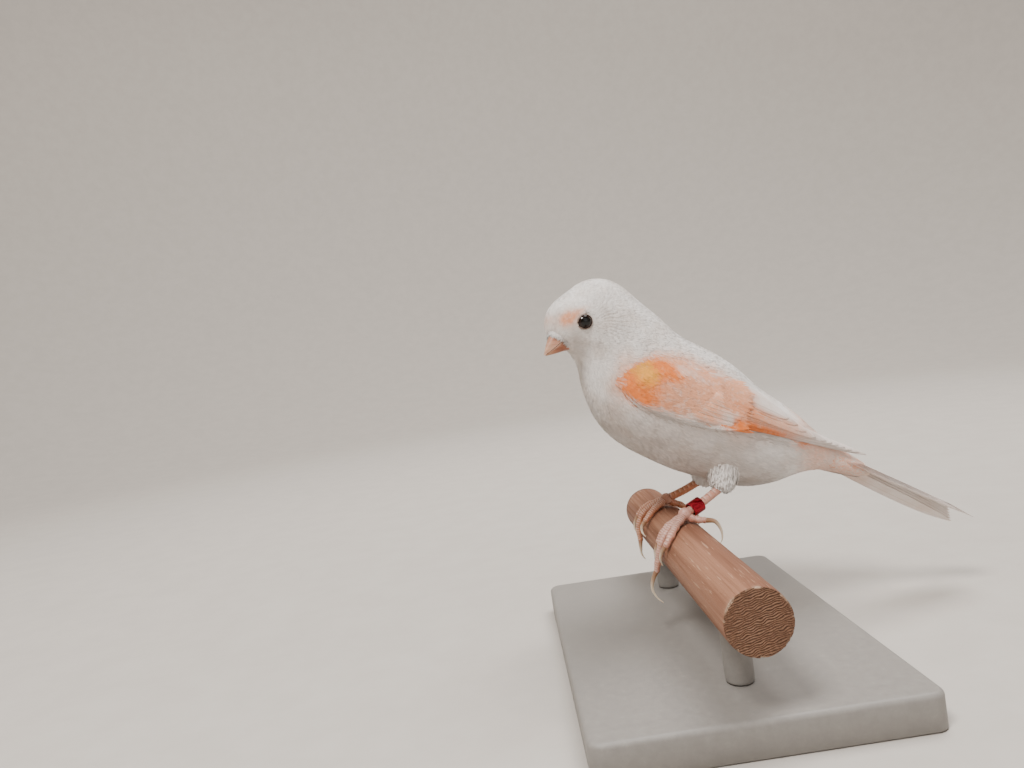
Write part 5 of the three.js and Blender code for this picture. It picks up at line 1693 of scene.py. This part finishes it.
def make_stand():
    low, high = (np.array(v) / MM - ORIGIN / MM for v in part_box("stand_base"))
    size, middle = high - low, (high + low) / 2
    edge = 1.2
    turns = np.radians(np.linspace(0, 90, 9))
    rows = [(0.5, 0.0), (0.0, 0.5)]
    rows += [(edge * (1 - math.cos(t)), size[2] - edge + edge * math.sin(t)) for t in turns]
    rows += [(edge + inward, size[2]) for inward in (1.5, 6, 15)]
    grid = []
    for inward, height in rows:
        outline = rounded_outline(size[0] - 2 * inward, size[1] - 2 * inward, max(3.0 - inward, 0.4) + 0.2)
        grid.append(np.column_stack([middle[0] + outline[:, 0], middle[1] + outline[:, 1],
                                     np.full(len(outline), low[2] + height)]))
    points, faces = capped(np.array(grid))
    new_piece("base_painted", points, faces, finish("stand"), {}, replaces=("stand_base",))
    for where in ("front", "back"):
        low, high = (np.array(v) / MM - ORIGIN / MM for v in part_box("stand_rod_" + where))
        middle, radius = (high + low) / 2, (high[0] - low[0]) / 2 - 0.01
        angle = np.arange(72) / 72 * 2 * np.pi
        heights = np.linspace(low[2] + 0.02, high[2], 40)
        around = np.column_stack([np.cos(angle), np.sin(angle)]) * radius
        grid = []
        for i, height in enumerate(heights):
            x, y = around[:, 0], around[:, 1] + middle[1]
            ceiling = -np.sqrt((PERCH_RADIUS + 0.05) ** 2 - x**2)
            foot = 0.15 * math.exp(-i / 1.5)
            grid.append(np.column_stack([x * (1 - foot / radius), (y - middle[1]) * (1 - foot / radius) + middle[1],
                                         np.minimum(np.full(72, height), ceiling)]))
        inner = []
        for shrink in (0.7, 0.35, 0.05):
            x = around[:, 0] * shrink
            ceiling = -np.sqrt((PERCH_RADIUS + 0.05) ** 2 - x**2)
            inner.append(np.column_stack([x, around[:, 1] * shrink + middle[1], ceiling]))
        points, faces = capped(np.array(grid + inner))
        new_piece("rod_painted_" + where, points, faces, finish("stand"), {},
                  replaces=("stand_rod_" + where,))


# Stage


def area_light(name, place, aim, size, power, color):
    light = bpy.data.lights.new(name, "AREA")
    light.shape = "DISK"
    light.size = size
    light.energy = power
    light.color = color
    made = bpy.data.objects.new(name, light)
    made.location = place
    made.rotation_euler = (Vector(aim) - Vector(place)).to_track_quat("-Z", "Y").to_euler()
    bpy.context.scene.collection.objects.link(made)
    return made


def make_backdrop():
    """A wide pale bowl: flat under the model and curved up all round, so that no horizon shows."""
    radius = np.concatenate([[0.02, 0.3, 0.6], 0.8 + 0.7 * np.sin(np.radians(np.linspace(0, 90, 20))), [1.5]])
    height = np.concatenate([[0, 0, 0], 0.7 - 0.7 * np.cos(np.radians(np.linspace(0, 90, 20))), [2.6]])
    angle = np.arange(96) / 96 * 2 * np.pi
    grid = np.stack([np.outer(radius, np.cos(angle)), np.outer(radius, np.sin(angle)),
                     np.outer(height, np.ones(96))], -1)
    mesh = bpy.data.meshes.new("backdrop")
    points = np.vstack([grid.reshape(-1, 3), [0, 0, 0]])
    quads = sheet_faces(len(radius), 96)[:, ::-1].tolist()
    middle = [[(j + 1) % 96, j, len(points) - 1][::-1] for j in range(96)]
    mesh.from_pydata(points.tolist(), [], quads + middle)
    mesh.shade_smooth()
    made = bpy.data.objects.new("backdrop", mesh)
    mesh.materials.append(finish("floor"))
    bpy.context.scene.collection.objects.link(made)
    return made


def camera_turn():
    """The camera's axes, from the dowel's vanishing point and the roll seen in the photo."""
    focus = 770.0
    roll = math.radians(8.3)
    along = unit(np.array([(497 - 512) / focus, -(357 - 384) / focus, -1.0]))
    up = np.array([-math.sin(roll), math.cos(roll), 0.0])
    up[2] = -(up[0] * along[0] + up[1] * along[1]) / along[2]
    up = unit(up)
    return Matrix(np.column_stack([np.cross(along, up), along, up]).T.tolist())


def make_camera():
    camera = bpy.data.cameras.new("camera")
    camera.sensor_width = 36
    camera.lens = 770 / 1024 * 36
    camera.clip_start = 0.01
    made = bpy.data.objects.new("camera", camera)
    made.matrix_world = camera_turn().to_4x4()
    made.location = np.array([-42.298, -216.524, 57.494]) * MM + ORIGIN
    bpy.context.scene.collection.objects.link(made)
    bpy.context.scene.camera = made
    return made


def make_stage():
    backdrop = make_backdrop()
    aim = (0.0, 0.0, 0.07)
    lights = [
        area_light("key light", (-0.30, -0.40, 0.80), aim, 0.30, 9.0, (1.0, 0.97, 0.93)),
        area_light("top light", (0.25, 0.15, 0.95), aim, 0.6, 9.0, (1.0, 0.98, 0.96)),
        area_light("fill light", (0.35, -0.75, 0.4), aim, 0.8, 1.3, (0.95, 0.97, 1.0)),
        area_light("wall light", (0.0, 0.2, 0.9), (0.0, 1.4, 0.7), 0.6, 9.0, (1.0, 0.98, 0.96)),
    ]
    world = bpy.data.worlds.new("soft room")
    world.use_nodes = True
    world.node_tree.nodes["Background"].inputs[0].default_value = linear(214, 210, 204)
    world.node_tree.nodes["Background"].inputs[1].default_value = 0.5
    bpy.context.scene.world = world
    make_camera()


# The add-on


class CanarySettings(bpy.types.PropertyGroup):
    seed: IntProperty(name="Seed", description="Changes how the feathers happen to fall", default=7, min=0)
    spacing: FloatProperty(
        name="Feather spacing", description="Wider spacing makes fewer feathers", default=1.0, subtype="FACTOR",
        min=0.5, max=4.0,
    )
    white: FloatVectorProperty(
        name="White", description="Colour of the unmarked feathers", default=linear(240, 235, 231)[:3],
        subtype="COLOR", size=3, min=0, max=1,
    )


def operator(name, label, text, build):
    """A class for one button, which makes one piece or one group of like pieces."""

    def execute(self, context):
        build()
        return {"FINISHED"}

    contents = {"bl_idname": "canary." + name, "bl_label": label, "__doc__": text, "execute": execute}
    return type("CANARY_OT_" + name, (bpy.types.Operator,), contents)


def make_wings():
    settings = bpy.context.scene.canary
    materials = {"vane": finish("vane")}
    for side, name in ((1, "left"), (-1, "right")):
        make_wing(side, name, materials)
        make_arm(side, name, finish("skin"))
        coat = Coat()
        covert_locks(side, np.random.default_rng(settings.seed + 2 + side), coat)
        coat.make(["coat_wing_" + name], finish("coat"))


def make_whole_tail():
    settings = bpy.context.scene.canary
    make_tail({"vane": finish("vane")})
    coat = Coat()
    tail_covert_locks(np.random.default_rng(settings.seed + 9), coat)
    coat.make(["coat_tail"], finish("coat"))


BUTTONS = [
    operator("skin", "Skin", "Makes the skin of the body, the head and the thighs", make_skin),
    operator("coat", "Body feathers", "Covers the body and the head with fine locks", make_coat),
    operator("thighs", "Thigh feathers", "Makes the loose white feathers of the thighs", make_thighs),
    operator("wings", "Wings", "Makes the flight feathers and the coverts of both wings", make_wings),
    operator("tail", "Tail", "Makes the tail feathers and their coverts", make_whole_tail),
    operator("eyes", "Eyes and lids", "Makes the glossy eyes and their thin lids", make_eyes),
    operator("bill", "Bill", "Makes both halves of the bill", make_bill),
    operator("feet", "Legs and toes", "Makes the scaly tarsi and toes round the dowel", make_feet),
    operator("claws", "Claws", "Makes the eight claws", make_claws),
    operator("ring", "Leg ring", "Makes the plain metal ring on the left leg", make_ring),
    operator("perch", "Dowel", "Makes the dowel with its rough sawn end", make_perch),
    operator("stand", "Stand", "Makes the base and the two rods", make_stand),
    operator("stage", "Studio", "Makes the backdrop, the lights and the camera", make_stage),
]


class CANARY_PT_panel(bpy.types.Panel):
    """Lists the pieces of the canary in the sidebar."""

    bl_label = "Canary"
    bl_idname = "CANARY_PT_panel"
    bl_space_type = "VIEW_3D"
    bl_region_type = "UI"
    bl_category = "Canary"

    def draw(self, context):
        settings = context.scene.canary
        for name in ("seed", "spacing", "white"):
            self.layout.prop(settings, name)
        for button in BUTTONS:
            self.layout.operator(button.bl_idname)


def register():
    for made in (CanarySettings, *BUTTONS, CANARY_PT_panel):
        bpy.utils.register_class(made)
    bpy.types.Scene.canary = PointerProperty(type=CanarySettings)


def unregister():
    del bpy.types.Scene.canary
    for made in reversed((CanarySettings, *BUTTONS, CANARY_PT_panel)):
        bpy.utils.unregister_class(made)


def main():
    register()
    for button in BUTTONS:
        getattr(bpy.ops.canary, button.bl_idname.split(".")[1])()


if __name__ == "__main__":
    main()
